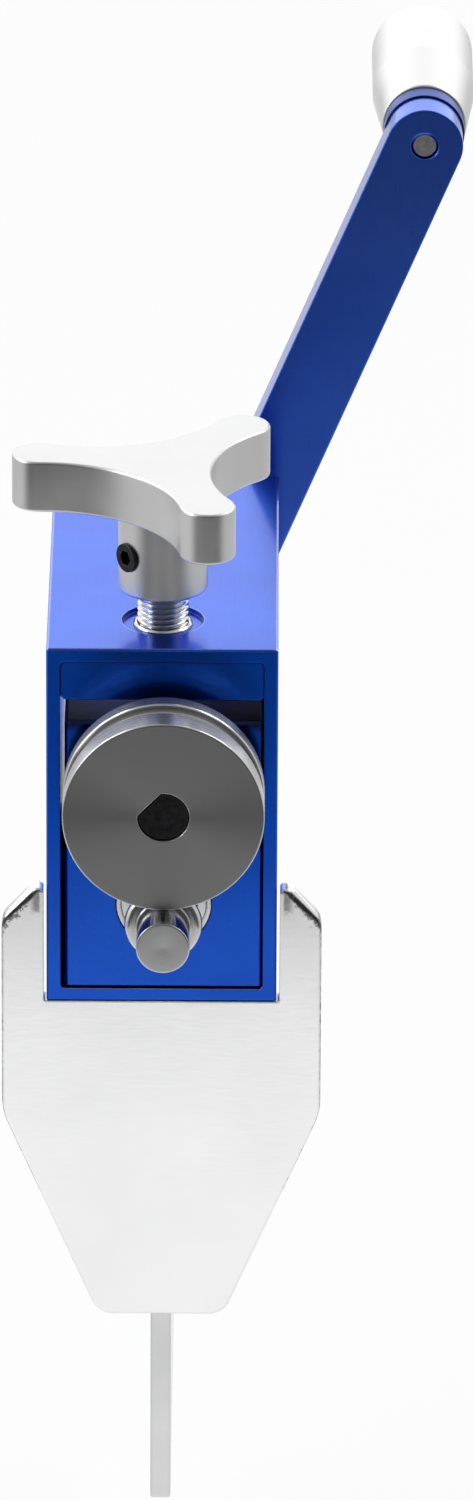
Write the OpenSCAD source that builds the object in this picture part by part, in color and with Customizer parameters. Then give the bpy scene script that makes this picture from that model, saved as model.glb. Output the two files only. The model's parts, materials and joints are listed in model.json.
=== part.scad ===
// Hand cranked tube beader that is clamped in a bench vise by its fin.
// A tube end slips over the mandrel, the knob lowers the grooved roller on it, and the crank
// turns the mandrel, so that the bead ring rolls a bead into the tube wall.
// Lengths are in millimetres. X runs across the tool, Y from front to back and Z up.
// The origin is the middle of the vise fin, at the level of the jaw tops.

/* [Housing] */
// Outside width of the housing tube
house_w = 50; // [46:1:60]
// Length of the housing tube from front to back
house_l = 100; // [85:1:130]
// Wall of the housing tube
wall = 3; // [2.5:0.25:5]
// Radius in the inside corners of the tube
tube_corner_r = 1; // [0.5:0.25:1.5]
// Bevel on the outer edges of the tube and of the small pieces
edge_bevel = 0.4; // [0.2:0.1:0.6]
// Diameter of the spot face round the screw on top
spot_d = 17.8; // [15:0.1:24]
// Depth of that spot face
spot_depth = 1; // [0.5:0.1:2]

/* [Blocks] */
// Height of the mandrel's axis above the underside of the tube
lower_z = 23.2; // [20:0.1:30]
// Gap between the blocks and the left wall
gap_left = 0.95; // [0.3:0.05:1.5]
// Gap between the blocks and the right wall
gap_right = 0.05; // [0.05:0.05:1]
// Bevel on the edges of the upper and the lower block
block_bevel = 0.7; // [0.2:0.1:1]
// Bevel on the edges of the nut block
nut_bevel = 0.2; // [0.1:0.05:0.6]
// How far the block faces stand behind the tube's front edge
block_recess = 0.3; // [0.1:0.1:2]
// Length of the upper block and the nut block from front to back
upper_block_l = 30; // [28:1:44]
// Metal above the upper bearings
block_roof = 3.5; // [3.2:0.1:8]
// Thickness of the nut block
nut_t = 9; // [6:0.1:14]
// Travel of the upper block from its lowest place, where it rests
lift = 4.5; // [2:0.1:8]
// Room left above the upper block at the top of that travel
stop_gap = 0.5; // [0.3:0.1:1]
// Gap between the two blocks with the upper one fully down
block_gap = 1.5; // [0.3:0.1:4]
// Diameter of the guide pins
guide_d = 6; // [4:0.5:8]
// Metal outside the guide pins
guide_rim = 2.3; // [2:0.1:4]
// Depth of the guide pins in the lower block
guide_seat = 14; // [8:1:20]

/* [Bearings] */
// Bore of the thin ball bearings, and the diameter of both shafts
bearing_bore_d = 12; // [10:0.5:13]
// Outside diameter of the bearings
bearing_d = 21; // [20:0.5:24]
// Width of the bearings
bearing_t = 5; // [4:0.5:7]
// Balls in each bearing
ball_count = 14; // [8:1:16]

/* [Roller] */
// Diameter of the grooved roller
roller_d = 43.5; // [38:0.1:46]
// Length of the roller
roller_l = 15.3; // [14:0.1:18]
// How far the roller's front face stands before the tube
roller_front = 19.4; // [18:0.1:22]
// Bevel on the roller's rims
rim_bevel = 0.4; // [0.2:0.1:1]
// Gap between roller and mandrel neck with the block fully down
mouth_gap = 0.1; // [0.05:0.05:2]
// Room between the bead ring and each wall of the groove
groove_side_gap = 0.5; // [0.4:0.1:1]
// Room between the bead ring and the groove's floor with the block fully down
groove_floor_gap = 1.05; // [0.6:0.05:2]
// Diameter of the shaft end in the roller's bore
roller_bore = 11.2; // [8:0.1:11.6]
// Distance of the flat from the axis, as a share of the bore's radius
roller_flat_share = 0.76; // [0.6:0.01:0.9]
// Direction of the flat, counted from right to up
flat_angle = 136; // [0:1:359]
// How deep the shaft end lies in the roller
shaft_recess = 0.6; // [0.2:0.1:6]
// Gap between the flats of the shaft end and of the bore
shaft_flat_gap = 0.5; // [0.05:0.05:1]
// Diameter of the roller's set screw
roller_grub_d = 3; // [2:0.5:3.5]
// Outside diameter of the spacer behind the roller
roller_spacer_d = 14.4; // [14:0.2:17]

/* [Mandrel] */
// Diameter of the nose
nose_d = 11.6; // [8:0.1:13]
// How far the nose's tip stands before the tube
nose_tip = 23.5; // [18:0.1:30]
// Bevel at the nose's tip
nose_bevel = 0.3; // [0.2:0.1:1.5]
// Diameter of the bead ring
ring_d = 16.9; // [15:0.1:18]
// Width of the bead ring
ring_w = 3.2; // [2.4:0.1:4]
// Distance of the bead ring before the tube
ring_at = 10.65; // [9:0.05:12]
// Diameter of the neck behind the bead ring
neck_d = 14.2; // [13.4:0.1:14.8]

/* [Adjusting screw] */
// Outside diameter of the screw's thread
screw_d = 11.1; // [8:0.1:12]
// Pitch of the thread
screw_pitch = 1.27; // [1:0.01:2]
// Distance of the screw behind the tube's front edge
screw_back = 16.7; // [12:0.1:20]
// Wall of the collar round the screw on top
collar_wall = 0.8; // [0.7:0.1:3]
// How far that collar stands out of the spot face
collar_proud = 0.8; // [0.2:0.1:2]
// Diameter of the pilot that turns in the upper block
pilot_d = 8; // [6:0.1:9]
// Depth of the pilot's seat in the upper block
pilot_seat = 5.6; // [5:0.1:6.5]
// Diameter of the two pins that hold the pilot
hold_pin_d = 2; // [1.5:0.1:2.4]
// Diameter of the shank in the knob
shank_d = 9; // [6:0.1:9.4]

/* [Knob] */
// Distance of the hub's underside above the tube
hub_gap = 7.9; // [6:0.1:16]
// Diameter of the hub
hub_d = 19.4; // [17:0.1:24]
// Height of the hub below the lobes
hub_h = 17.6; // [13:0.1:24]
// Thickness of the three lobes
lobe_t = 11.6; // [8:0.1:16]
// Reach of a lobe's tip from the screw's axis
lobe_reach = 33; // [28:0.1:40]
// Radius of a lobe's tip
lobe_tip_r = 6; // [5:0.1:8]
// Radius of the waist between the lobes
waist_r = 10.9; // [10:0.1:12]
// Direction of the first lobe, counted from right to back
lobe_angle = 171; // [0:1:359]
// Depth of the screw's shank in the knob
shank_seat = 20; // [14:0.5:24]
// Diameter of the knob's set screw
knob_grub_d = 6.3; // [3:0.1:7]
// How far that set screw stands out of the hub
knob_grub_proud = 0.6; // [0:0.1:2]
// Height of that set screw above the hub's underside
knob_grub_h = 9; // [5:0.1:12]
// Direction of that set screw, counted from the front to the left
knob_grub_angle = 52; // [0:1:180]

/* [Crank] */
// Distance between the shaft and the grip's axis
arm_c = 146; // [100:1:200]
// Width of the arm
arm_w = 17; // [16:0.1:22]
// Thickness of the arm
arm_t = 8.5; // [6:0.1:12]
// Gap between the tube's back end and the arm
arm_gap = 9; // [5:0.5:20]
// Lean of the arm to the right at rest
arm_lean = 22.7; // [-180:0.1:180]
// Diameter of the shaft's stub in the arm
stub_d = 10; // [8.5:0.1:11]
// Distance of the stub's flat from the axis, as a share of its radius
stub_flat_share = 0.8; // [0.7:0.01:0.9]
// Outside diameter of the spacer between tube and arm
crank_spacer_d = 15; // [14:0.1:16]
// Diameter of the end screw
end_screw_d = 6; // [4:0.5:6]
// Depth of the end screw in the shaft
end_screw_l = 14; // [8:1:24]
// Diameter of the washer below the end screw
end_washer_d = 15; // [13:0.1:18]
// Thickness of that washer
end_washer_t = 1.6; // [1:0.1:3]

/* [Grip] */
// Diameter of the grip next to the arm
grip_neck_d = 18.7; // [17:0.1:21]
// Diameter of the grip's body
grip_d = 22.6; // [22:0.1:28]
// Length of the grip
grip_l = 47.3; // [36:0.1:80]
// Length of the flare from neck to body
grip_flare_l = 20; // [8:0.5:24]
// Radius round the grip's far end
grip_end_r = 1; // [0.5:0.1:4]
// Diameter of the spacer between arm and grip
grip_spacer_d = 17.8; // [16:0.1:20]
// Thickness of that spacer
grip_spacer_t = 5; // [2:0.1:10]
// Diameter of the grip bolt's shoulder
grip_bolt_d = 8; // [7:0.1:9]
// Diameter of the bolt's thread in the arm
grip_thread_d = 6; // [5:0.1:6.5]
// How far the bolt's end lies below the arm's front face
grip_bolt_recess = 0.6; // [0.2:0.1:2]
// Diameter of the bolt's head
grip_head_d = 13; // [12:0.1:14]
// Height of the bolt's head
grip_head_h = 5; // [4:0.1:6]
// How deep the bolt's head lies below the grip's end
grip_head_sink = 3; // [1:0.1:6]

/* [Bracket] */
// Thickness of the front plate, the saddle and the fin
plate_t = 4.5; // [3:0.1:6]
// Gap between the housing and the front plate's ears
notch_gap = 0.65; // [0.1:0.05:1]
// Width of each ear
ear_w = 9.1; // [8:0.1:20]
// Height of the ears above the underside of the tube
ear_h = 26.7; // [15:0.1:36]
// Width of the slanted corner of an ear
ear_cut_w = 6.4; // [2:0.1:6.6]
// Height of the slanted corner of an ear
ear_cut_h = 7.2; // [2:0.1:12]
// Length of the plate's straight sides below the tube
side_drop = 26.7; // [10:0.1:40]
// Length of the whole front plate below the tube
shield_drop = 75.8; // [60:0.1:100]
// Width of the front plate's lower edge
foot_w = 27.6; // [16:0.1:40]
// Radius at the plate's lower corners
foot_r = 5; // [2:0.5:8]
// Radius where the sides turn inwards
bend_r = 15; // [5:1:25]
// Length of the fin from front to back
fin_l = 88; // [70:1:110]
// Height of the fin below the jaw tops
tang_h = 48.6; // [25:0.1:60]
// Radius at the fin's lower corners
fin_corner_r = 3; // [1:0.5:10]
// Width of the line scribed on both sides of the fin at the jaw tops
jaw_line_w = 0.4; // [0.2:0.1:1]
// Depth of that line
jaw_line_t = 0.2; // [0.1:0.05:0.5]
// Width of the saddle below the tube
saddle_w = 42; // [36:1:60]
// Leg of the weld beads
weld_leg = 3; // [2:0.1:4]

/* [Fasteners] */
// Diameter of the cap screws from below
base_screw_d = 5; // [4:0.5:6]
// Distance of those screws from the middle
base_screw_x = 13; // [12.5:0.1:15]
// Distance of the front pair behind the tube's front edge
base_screw_front = 20; // [15:1:40]
// Distance between the front and the rear pair
base_screw_pitch = 56; // [20:1:60]
// Depth of those screws in the lower block
base_screw_depth = 10; // [6:0.5:12]
// Diameter of the nut block's countersunk screws
side_screw_d = 4; // [3:0.5:5]
// Length of those screws below the tube's side
side_screw_l = 11; // [8:0.5:14]
// Distance between the two screws on a side
side_screw_pitch = 16; // [12:0.5:18]

/* [Fits] */
// Radial clearance of a piece that turns or slides
slip = 0.05; // [0.02:0.01:0.1]
// Radial clearance of a piece that stays where it is put
seat = 0.02; // [0.01:0.01:0.05]
// Radial clearance of a screw's clearance hole
hole_gap = 0.25; // [0.1:0.05:0.5]
// Radial room round a shaft inside its block
shaft_room = 0.5; // [0.3:0.1:1]
// Room past a screw's end in its tapped hole
tap_room = 1; // [0.5:0.1:3]
// End play of a piece that turns
end_play = 0.15; // [0.1:0.05:0.3]

/* [Hidden] */
$fn = 96;
arc_steps = 8;

// Proportions of the standard pieces
cap_head_d = base_screw_d * 1.7;
cap_head_h = base_screw_d;
washer_d = base_screw_d * 2;
washer_t = base_screw_d * 0.2;
side_head_d = side_screw_d * 1.9;
side_head_h = side_screw_d * 0.5;
end_head_d = end_screw_d * 1.75;
end_head_h = end_screw_d * 0.55;
cut = 1;

// Inside of the tube and the blocks in it
inner_w = house_w - 2 * wall;
block_w = inner_w - gap_left - gap_right;
axis_x = (gap_left - gap_right) / 2;
block_back = house_l - block_recess;
upper_back = block_recess + upper_block_l;

// Heights above the underside of the tube
shaft_r = bearing_bore_d / 2;
nose_r = nose_d / 2;
ring_r = ring_d / 2;
roller_r = roller_d / 2;
axis_gap = roller_r + max(nose_d, neck_d) / 2 + mouth_gap;
upper_z = lower_z + axis_gap;
block_reach = (axis_gap - block_gap) / 2;
lower_top = lower_z + block_reach;
upper_bottom = upper_z - block_reach;
upper_top = upper_z + bearing_d / 2 + block_roof;
nut_bottom = upper_top + lift + stop_gap;
nut_top = nut_bottom + nut_t;
house_h = nut_top + wall;

// Bearing section
race_r = (bearing_d + bearing_bore_d) / 4;
ring_depth = (bearing_d - bearing_bore_d) / 2;
ball_r = ring_depth * 0.25;
race_gap = 0.1;
race_land = ring_depth * 0.21;
ring_bevel = ring_depth * 0.07;
shaft_bore = bearing_bore_d + 2 * shaft_room;

// Roller and its groove
roller_back = roller_front - roller_l;
groove_r = ring_w / 2 + groove_side_gap;
groove_floor = axis_gap - ring_r - groove_floor_gap;
roller_flat = roller_bore / 2 * roller_flat_share;
shaft_flat = roller_flat - shaft_flat_gap;
clip_t = bearing_bore_d / 12;
clip_groove_r = shaft_r * 0.955;

// Adjusting screw and knob
screw_r = screw_d / 2;
collar_r = screw_r + slip + collar_wall;
thread_h = screw_pitch * 0.61;
crest = screw_pitch / 8;
hub_z = house_h + hub_gap;
hold_z = upper_top - pilot_seat / 2;
hold_groove_r = pilot_d / 2 - hold_pin_d * 0.55;
hold_pin_x = hold_groove_r + seat + slip + hold_pin_d / 2;
pilot_play = 0.3;
lobe_r = lobe_reach - lobe_tip_r;
valley_r = (pow(lobe_r, 2) + pow(waist_r, 2) - lobe_r * waist_r - pow(lobe_tip_r, 2))
    / (lobe_r + 2 * lobe_tip_r - 2 * waist_r);

// Crank and grip, as distances behind the tube's front edge
arm_front = house_l + arm_gap;
arm_back = arm_front + arm_t;
stub_end = arm_back - stub_d * 0.02;
stub_flat = stub_d / 2 * stub_flat_share;
grip_front = arm_back + grip_spacer_t + end_play;
grip_back = grip_front + grip_l;
grip_pocket = grip_head_h + grip_head_sink;

// Bracket
front_y = -(plate_t + fin_l / 2);
plate_w = house_w + 2 * (notch_gap + ear_w);
house_z = shield_drop;
saddle_back = plate_t + fin_l;
head_z = -(plate_t + washer_t);
guide_x = block_w / 2 - guide_rim - guide_d / 2;
guide_top = upper_top - stop_gap - pilot_seat;

// Places: every piece is drawn from the tube's front edge and its underside
module at_housing() {
    translate([0, front_y, house_z]) children();
}

module on_lower_axis() {
    translate([axis_x, 0, lower_z]) children();
}

module on_upper_axis() {
    translate([axis_x, 0, upper_z]) children();
}

module on_screw_axis() {
    translate([0, screw_back, 0]) children();
}

module on_grip_axis() {
    translate([axis_x + arm_c * sin(arm_lean), 0, lower_z + arm_c * cos(arm_lean)]) children();
}

// Shapes along the tool: an outline seen from the front, and a turned profile of radius and depth
module extrude_back(from, to) {
    translate([0, to, 0]) rotate([90, 0, 0]) linear_extrude(to - from) children();
}

module turn_back(profile) {
    rotate([-90, 0, 0]) rotate_extrude() polygon(profile);
}

module turn_up(profile) {
    rotate_extrude() polygon(profile);
}

module bevelled_square(w, h, bevel) {
    polygon([
        [bevel, 0], [w - bevel, 0], [w, bevel], [w, h - bevel],
        [w - bevel, h], [bevel, h], [0, h - bevel], [0, bevel]
    ]);
}

// A box from its left, front and lower corner, with its own bevel on the edges along Y
module bevelled_box(size, bevel, long_bevel) {
    intersection() {
        linear_extrude(size[2]) bevelled_square(size[0], size[1], bevel);
        extrude_back(0, size[1]) bevelled_square(size[0], size[2], long_bevel);
        rotate([90, 0, 90]) linear_extrude(size[0]) bevelled_square(size[1], size[2], bevel);
    }
}

// A circle with one flat that faces the given angle
module d_outline(r, flat, angle) {
    rotate(angle) intersection() {
        circle(r);
        translate([-2 * r, -2 * r]) square([2 * r + flat, 4 * r]);
    }
}

// An outline whose corners are rounded by arcs
function unit(v) = v / norm(v);
function corner_arc(a, b, c, r) =
    let (
        u = unit(a - b),
        v = unit(c - b),
        half = acos(u * v) / 2,
        centre = b + unit(u + v) * r / sin(half),
        p0 = b + u * r / tan(half) - centre,
        p1 = b + v * r / tan(half) - centre,
        a0 = atan2(p0[1], p0[0]),
        turn = (atan2(p1[1], p1[0]) - a0 + 540) % 360 - 180
    )
    [for (i = [0:arc_steps]) centre + r * [cos(a0 + turn * i / arc_steps), sin(a0 + turn * i / arc_steps)]];
function rounded(points, radii) =
    let (n = len(points))
    [for (i = [0:n - 1]) each corner_arc(points[(i + n - 1) % n], points[i], points[(i + 1) % n], radii[i])];
function arc_points(centre_r, centre_d, r, from, to) =
    [for (i = [0:arc_steps])
        let (a = from + (to - from) * i / arc_steps)
        [centre_r + r * cos(a), centre_d + r * sin(a)]];

module hex_socket(across, depth) {
    translate([0, 0, -depth]) rotate(30) cylinder(d = across / cos(30), h = depth + cut, $fn = 6);
}

// Ball bearing: rings and balls round the local axis, from its front face
module outer_ring(front) {
    translate([0, front, 0]) rotate([-90, 0, 0]) rotate_extrude() difference() {
        translate([race_r + race_land, 0])
            bevelled_square(bearing_d / 2 - race_r - race_land, bearing_t, ring_bevel);
        translate([race_r, bearing_t / 2]) circle(ball_r + race_gap);
    }
}

module inner_ring(front) {
    translate([0, front, 0]) rotate([-90, 0, 0]) rotate_extrude() difference() {
        translate([shaft_r, 0]) bevelled_square(race_r - race_land - shaft_r, bearing_t, ring_bevel);
        translate([race_r, bearing_t / 2]) circle(ball_r + race_gap);
    }
}

module ball_circle(front) {
    for (i = [0:ball_count - 1])
        rotate([0, 360 * (i + 0.5) / ball_count, 0])
            translate([race_r, front + bearing_t / 2, 0]) sphere(ball_r, $fn = 32);
}

module at_lower_bearings() {
    on_lower_axis() children(0);
    on_lower_axis() translate([0, block_back - bearing_t - block_recess, 0]) children(0);
}

module at_upper_bearings() {
    on_upper_axis() children(0);
    on_upper_axis() translate([0, upper_block_l - bearing_t, 0]) children(0);
}

// The shaft's bore through a block with a bearing pocket at each end
module bearing_bores(back) {
    extrude_back(block_recess - cut, back + cut) circle(d = shaft_bore);
    extrude_back(block_recess - cut, block_recess + bearing_t) circle(d = bearing_d);
    extrude_back(back - bearing_t, back + cut) circle(d = bearing_d);
}

module at_base_screws() {
    for (side = [-1, 1])
        for (back = [base_screw_front, base_screw_front + base_screw_pitch])
            translate([side * base_screw_x, back, 0]) children();
}

// Side screws, with the local axis out of the tube's side
module at_side_screws() {
    for (side = [-1, 1])
        for (step = [-1, 1])
            translate([side * house_w / 2, block_recess + upper_block_l / 2 + step * side_screw_pitch / 2,
                       (nut_bottom + nut_top) / 2])
                rotate([0, 90 * side, 0]) children();
}

module at_guide_pins() {
    for (side = [-1, 1])
        translate([axis_x + side * guide_x, block_recess + upper_block_l / 2, 0]) children();
}

module at_hold_pins() {
    for (side = [-1, 1])
        translate([side * hold_pin_x, 0, hold_z]) children();
}

// Housing and what is fixed in it
module housing_tube() {
    color("royalblue") at_housing() difference() {
        translate([-house_w / 2, 0, 0])
            bevelled_box([house_w, house_l, house_h], edge_bevel, edge_bevel);
        extrude_back(-cut, house_l + cut) polygon(rounded(
            [[-inner_w / 2, wall], [inner_w / 2, wall],
             [inner_w / 2, nut_top], [-inner_w / 2, nut_top]],
            [for (i = [0:3]) tube_corner_r]));
        on_screw_axis() translate([0, 0, house_h - spot_depth]) cylinder(d = spot_d, h = spot_depth + cut);
        on_screw_axis() translate([0, 0, nut_top - cut])
            cylinder(r = collar_r + seat, h = wall + 2 * cut);
        at_base_screws() translate([0, 0, -cut])
            cylinder(r = base_screw_d / 2 + hole_gap, h = wall + 2 * cut);
        at_side_screws() {
            translate([0, 0, -wall - cut]) cylinder(r = side_screw_d / 2 + hole_gap, h = wall + 2 * cut);
            translate([0, 0, -side_head_h])
                cylinder(r1 = side_screw_d / 2 + hole_gap, r2 = side_head_d / 2 + hole_gap, h = side_head_h);
        }
    }
}

module nut_block() {
    color("mediumblue") at_housing() difference() {
        translate([-inner_w / 2, block_recess, nut_bottom])
            bevelled_box([inner_w, upper_block_l, nut_t], nut_bevel, tube_corner_r);
        on_screw_axis() translate([0, 0, nut_bottom - cut]) cylinder(r = screw_r + slip, h = nut_t + 2 * cut);
        at_side_screws() translate([0, 0, -side_screw_l])
            cylinder(r = side_screw_d / 2 + seat, h = side_screw_l);
    }
}

module nut_block_screws() {
    color("dimgray") at_housing() at_side_screws() difference() {
        turn_up([
            [0, -side_screw_l + seat], [side_screw_d / 2, -side_screw_l + seat],
            [side_screw_d / 2, -side_head_h], [side_head_d / 2, -seat], [0, -seat]
        ]);
        translate([0, 0, -seat]) hex_socket(side_screw_d * 0.62, side_head_h * 0.8);
    }
}

module screw_collar() {
    collar_top = house_h - spot_depth + collar_proud;
    color("silver") at_housing() on_screw_axis() turn_up([
        [screw_r + slip, nut_top], [collar_r, nut_top], [collar_r, collar_top - edge_bevel],
        [collar_r - edge_bevel, collar_top], [screw_r + slip, collar_top]
    ]);
}

module lower_block() {
    color("mediumblue") at_housing() difference() {
        translate([axis_x - block_w / 2, block_recess, wall])
            bevelled_box([block_w, block_back - block_recess, lower_top - wall], block_bevel, tube_corner_r);
        on_lower_axis() bearing_bores(block_back);
        at_guide_pins() translate([0, 0, lower_top - guide_seat])
            cylinder(r = guide_d / 2 + seat, h = guide_seat + cut);
        at_base_screws() translate([0, 0, wall - cut])
            cylinder(r = base_screw_d / 2 + seat, h = base_screw_depth + cut + tap_room);
    }
}

module guide_pins() {
    color("silver") at_housing() at_guide_pins() turn_up([
        [0, lower_top - guide_seat], [guide_d / 2, lower_top - guide_seat],
        [guide_d / 2, guide_top - edge_bevel], [guide_d / 2 - edge_bevel, guide_top], [0, guide_top]
    ]);
}

module lower_bearing_outer_rings() {
    color("gainsboro") at_housing() at_lower_bearings() outer_ring(block_recess);
}

module lower_bearing_balls() {
    color("white") at_housing() at_lower_bearings() ball_circle(block_recess);
}

// Bracket
module bracket_front_plate() {
    plate_hw = plate_w / 2;
    notch_hw = house_w / 2 + notch_gap;
    ear_top_hw = plate_hw - ear_cut_w;
    ear_side = ear_h - ear_cut_h;
    ear_r = (ear_top_hw - notch_hw) * 0.8;
    half = [
        [foot_w / 2, -shield_drop], [plate_hw, -side_drop], [plate_hw, ear_side],
        [ear_top_hw, ear_h], [notch_hw, ear_h], [notch_hw, 0]
    ];
    half_radii = [foot_r, bend_r, ear_cut_w, ear_r, ear_r / 2, tube_corner_r / 2];
    outline = concat(half, [for (i = [5:-1:0]) [-half[i][0], half[i][1]]]);
    radii = concat(half_radii, [for (i = [5:-1:0]) half_radii[i]]);
    color("whitesmoke") at_housing() extrude_back(0, plate_t) polygon(rounded(outline, radii));
}

module bracket_saddle() {
    color("whitesmoke") at_housing() difference() {
        translate([-saddle_w / 2, plate_t, -plate_t])
            bevelled_box([saddle_w, fin_l, plate_t], edge_bevel, edge_bevel);
        at_base_screws() translate([0, 0, -plate_t - cut])
            cylinder(r = base_screw_d / 2 + hole_gap, h = plate_t + 2 * cut);
    }
}

module vise_fin() {
    fin_bottom = -shield_drop - tang_h;
    color("whitesmoke") at_housing() difference() {
        translate([-plate_t / 2, 0, 0]) rotate([90, 0, 90]) linear_extrude(plate_t) polygon(concat(
            [[plate_t, -plate_t]],
            corner_arc([plate_t, 0], [plate_t, fin_bottom], [saddle_back, fin_bottom], fin_corner_r),
            corner_arc([plate_t, fin_bottom], [saddle_back, fin_bottom], [saddle_back, 0], fin_corner_r),
            [[saddle_back, -plate_t]]));
        for (side = [-1, 1])
            translate([side * plate_t / 2, plate_t + fin_l / 2, -shield_drop - jaw_line_w / 2])
                cube([2 * jaw_line_t, fin_l + 2 * cut, jaw_line_w], center = true);
    }
}

// Fillet beads: fin to saddle, fin to front plate, and front plate to saddle
module weld_section() {
    polygon([[0, 0], [weld_leg, 0], [0, weld_leg]]);
}

module bracket_welds() {
    side_x = plate_t / 2;
    start = 2 * weld_leg;
    cross_l = saddle_w / 2 - side_x - start - weld_leg;
    color("lightgray") at_housing() for (side = [0, 1]) mirror([side, 0, 0]) {
        translate([side_x, plate_t + start, -plate_t]) rotate([-90, 0, 0])
            linear_extrude(fin_l - 2 * start) weld_section();
        translate([side_x, plate_t, -shield_drop + start])
            linear_extrude(shield_drop - plate_t - 2 * start) weld_section();
        translate([side_x + start, plate_t, -plate_t]) rotate([0, 90, 0])
            linear_extrude(cross_l) weld_section();
    }
}

module bracket_screws() {
    color("dimgray") at_housing() at_base_screws() translate([0, 0, head_z]) difference() {
        turn_up([
            [0, -cap_head_h], [cap_head_d / 2 - edge_bevel, -cap_head_h],
            [cap_head_d / 2, -cap_head_h + edge_bevel], [cap_head_d / 2, 0], [base_screw_d / 2, 0],
            [base_screw_d / 2, base_screw_depth + wall - head_z], [0, base_screw_depth + wall - head_z]
        ]);
        translate([0, 0, -cap_head_h]) mirror([0, 0, 1]) hex_socket(base_screw_d * 0.8, cap_head_h * 0.5);
    }
}

module bracket_washers() {
    color("silver") at_housing() at_base_screws() translate([0, 0, head_z]) difference() {
        cylinder(d = washer_d, h = washer_t);
        translate([0, 0, -cut]) cylinder(r = base_screw_d / 2 + hole_gap, h = washer_t + 2 * cut);
    }
}

// Sliding block
module upper_block() {
    color("mediumblue") at_housing() difference() {
        translate([axis_x - block_w / 2, block_recess, upper_bottom])
            bevelled_box([block_w, upper_block_l, upper_top - upper_bottom], block_bevel, block_bevel);
        on_upper_axis() bearing_bores(upper_back);
        at_guide_pins() translate([0, 0, upper_bottom - cut])
            cylinder(r = guide_d / 2 + slip, h = guide_top + lift - upper_bottom + cut);
        on_screw_axis() translate([0, 0, upper_top - pilot_seat])
            cylinder(r = pilot_d / 2 + slip, h = pilot_seat + cut);
        at_hold_pins() extrude_back(screw_back - pilot_d, upper_back + cut)
            circle(hold_pin_d / 2 + seat);
    }
}

module upper_bearing_outer_rings() {
    color("gainsboro") at_housing() at_upper_bearings() outer_ring(block_recess);
}

module upper_bearing_balls() {
    color("white") at_housing() at_upper_bearings() ball_circle(block_recess);
}

module screw_retaining_pins() {
    color("silver") at_housing() at_hold_pins()
        extrude_back(screw_back - pilot_d + seat, upper_back - seat) circle(d = hold_pin_d);
}

// Adjusting screw and knob
module adjusting_screw() {
    shoulder = upper_top + slip;
    thread_turns = floor((hub_z - shoulder) / screw_pitch);
    root_r = screw_r - thread_h;
    groove_h = hold_pin_d / 2 + 2 * slip;
    pilot_r = pilot_d / 2;
    thread = [
        for (i = [0:thread_turns - 1])
            let (z = shoulder + i * screw_pitch)
            each [
                [root_r, z],
                [screw_r, z + screw_pitch / 2 - crest / 2],
                [screw_r, z + screw_pitch / 2 + crest / 2]
            ]
    ];
    color("silver") at_housing() on_screw_axis() turn_up(concat(
        [[0, upper_top - pilot_seat + pilot_play], [pilot_r, upper_top - pilot_seat + pilot_play],
         [pilot_r, hold_z - groove_h], [hold_groove_r, hold_z - groove_h],
         [hold_groove_r, hold_z + groove_h], [pilot_r, hold_z + groove_h], [pilot_r, shoulder]],
        thread,
        [[root_r, shoulder + thread_turns * screw_pitch], [root_r, hub_z], [shank_d / 2, hub_z],
         [shank_d / 2, hub_z + shank_seat - pilot_play], [0, hub_z + shank_seat - pilot_play]]));
}

function around(r, angle) = [r * cos(angle), r * sin(angle)];

module knob_outline() {
    difference() {
        polygon([
            for (i = [0:2]) each [
                around(lobe_r, lobe_angle + 120 * i),
                around(waist_r + valley_r, lobe_angle + 120 * i + 60)
            ]
        ]);
        for (i = [0:2]) translate(around(waist_r + valley_r, lobe_angle + 120 * i + 60)) circle(valley_r);
    }
    for (i = [0:2]) translate(around(lobe_r, lobe_angle + 120 * i)) circle(lobe_tip_r);
}

// Set screw of the knob, with the local axis out of the hub
module at_knob_grub() {
    on_screw_axis() translate([0, 0, hub_z + knob_grub_h]) rotate([0, 0, -90 - knob_grub_angle])
        rotate([0, 90, 0]) children();
}

module knob() {
    color("gainsboro") at_housing() difference() {
        union() {
            on_screw_axis() translate([0, 0, hub_z]) cylinder(d = hub_d, h = hub_h);
            on_screw_axis() translate([0, 0, hub_z + hub_h]) linear_extrude(lobe_t) knob_outline();
        }
        on_screw_axis() translate([0, 0, hub_z - cut])
            cylinder(r = shank_d / 2 + seat, h = shank_seat + cut);
        at_knob_grub() cylinder(r = knob_grub_d / 2 + seat, h = hub_d);
    }
}

module knob_set_screw() {
    tip = shank_d / 2 + 2 * seat;
    face = hub_d / 2 + knob_grub_proud;
    color("black") at_housing() at_knob_grub() difference() {
        translate([0, 0, tip]) cylinder(d = knob_grub_d, h = face - tip);
        translate([0, 0, face]) hex_socket(knob_grub_d * 0.5, (face - tip) * 0.6);
    }
}

// Grooved roller on its shaft
module upper_roller() {
    color("silver") at_housing() on_upper_axis() difference() {
        rotate([-90, 0, 0]) rotate_extrude() difference() {
            translate([0, -roller_front]) polygon([
                [0, 0], [roller_r - rim_bevel, 0], [roller_r, rim_bevel], [roller_r, roller_l - rim_bevel],
                [roller_r - rim_bevel, roller_l], [0, roller_l]
            ]);
            translate([groove_floor + groove_r, -ring_at]) circle(groove_r);
            translate([groove_floor + groove_r, -ring_at - groove_r]) square([roller_r, 2 * groove_r]);
        }
        extrude_back(-roller_front - cut, -roller_back + cut)
            d_outline(roller_bore / 2 + seat, roller_flat + seat, flat_angle);
        at_roller_grub() cylinder(r = roller_grub_d / 2 + seat, h = roller_r);
    }
}

// Set screw of the roller in the groove, with the local axis out of the flat
module at_roller_grub() {
    translate([0, -ring_at, 0]) rotate([0, -flat_angle, 0]) rotate([0, 90, 0]) children();
}

module roller_set_screw() {
    tip = shaft_flat + seat;
    face = groove_floor - roller_grub_d * 0.1;
    color("black") at_housing() on_upper_axis() at_roller_grub() difference() {
        translate([0, 0, tip]) cylinder(d = roller_grub_d, h = face - tip);
        translate([0, 0, face]) hex_socket(roller_grub_d * 0.5, roller_grub_d * 0.7);
    }
}

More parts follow.
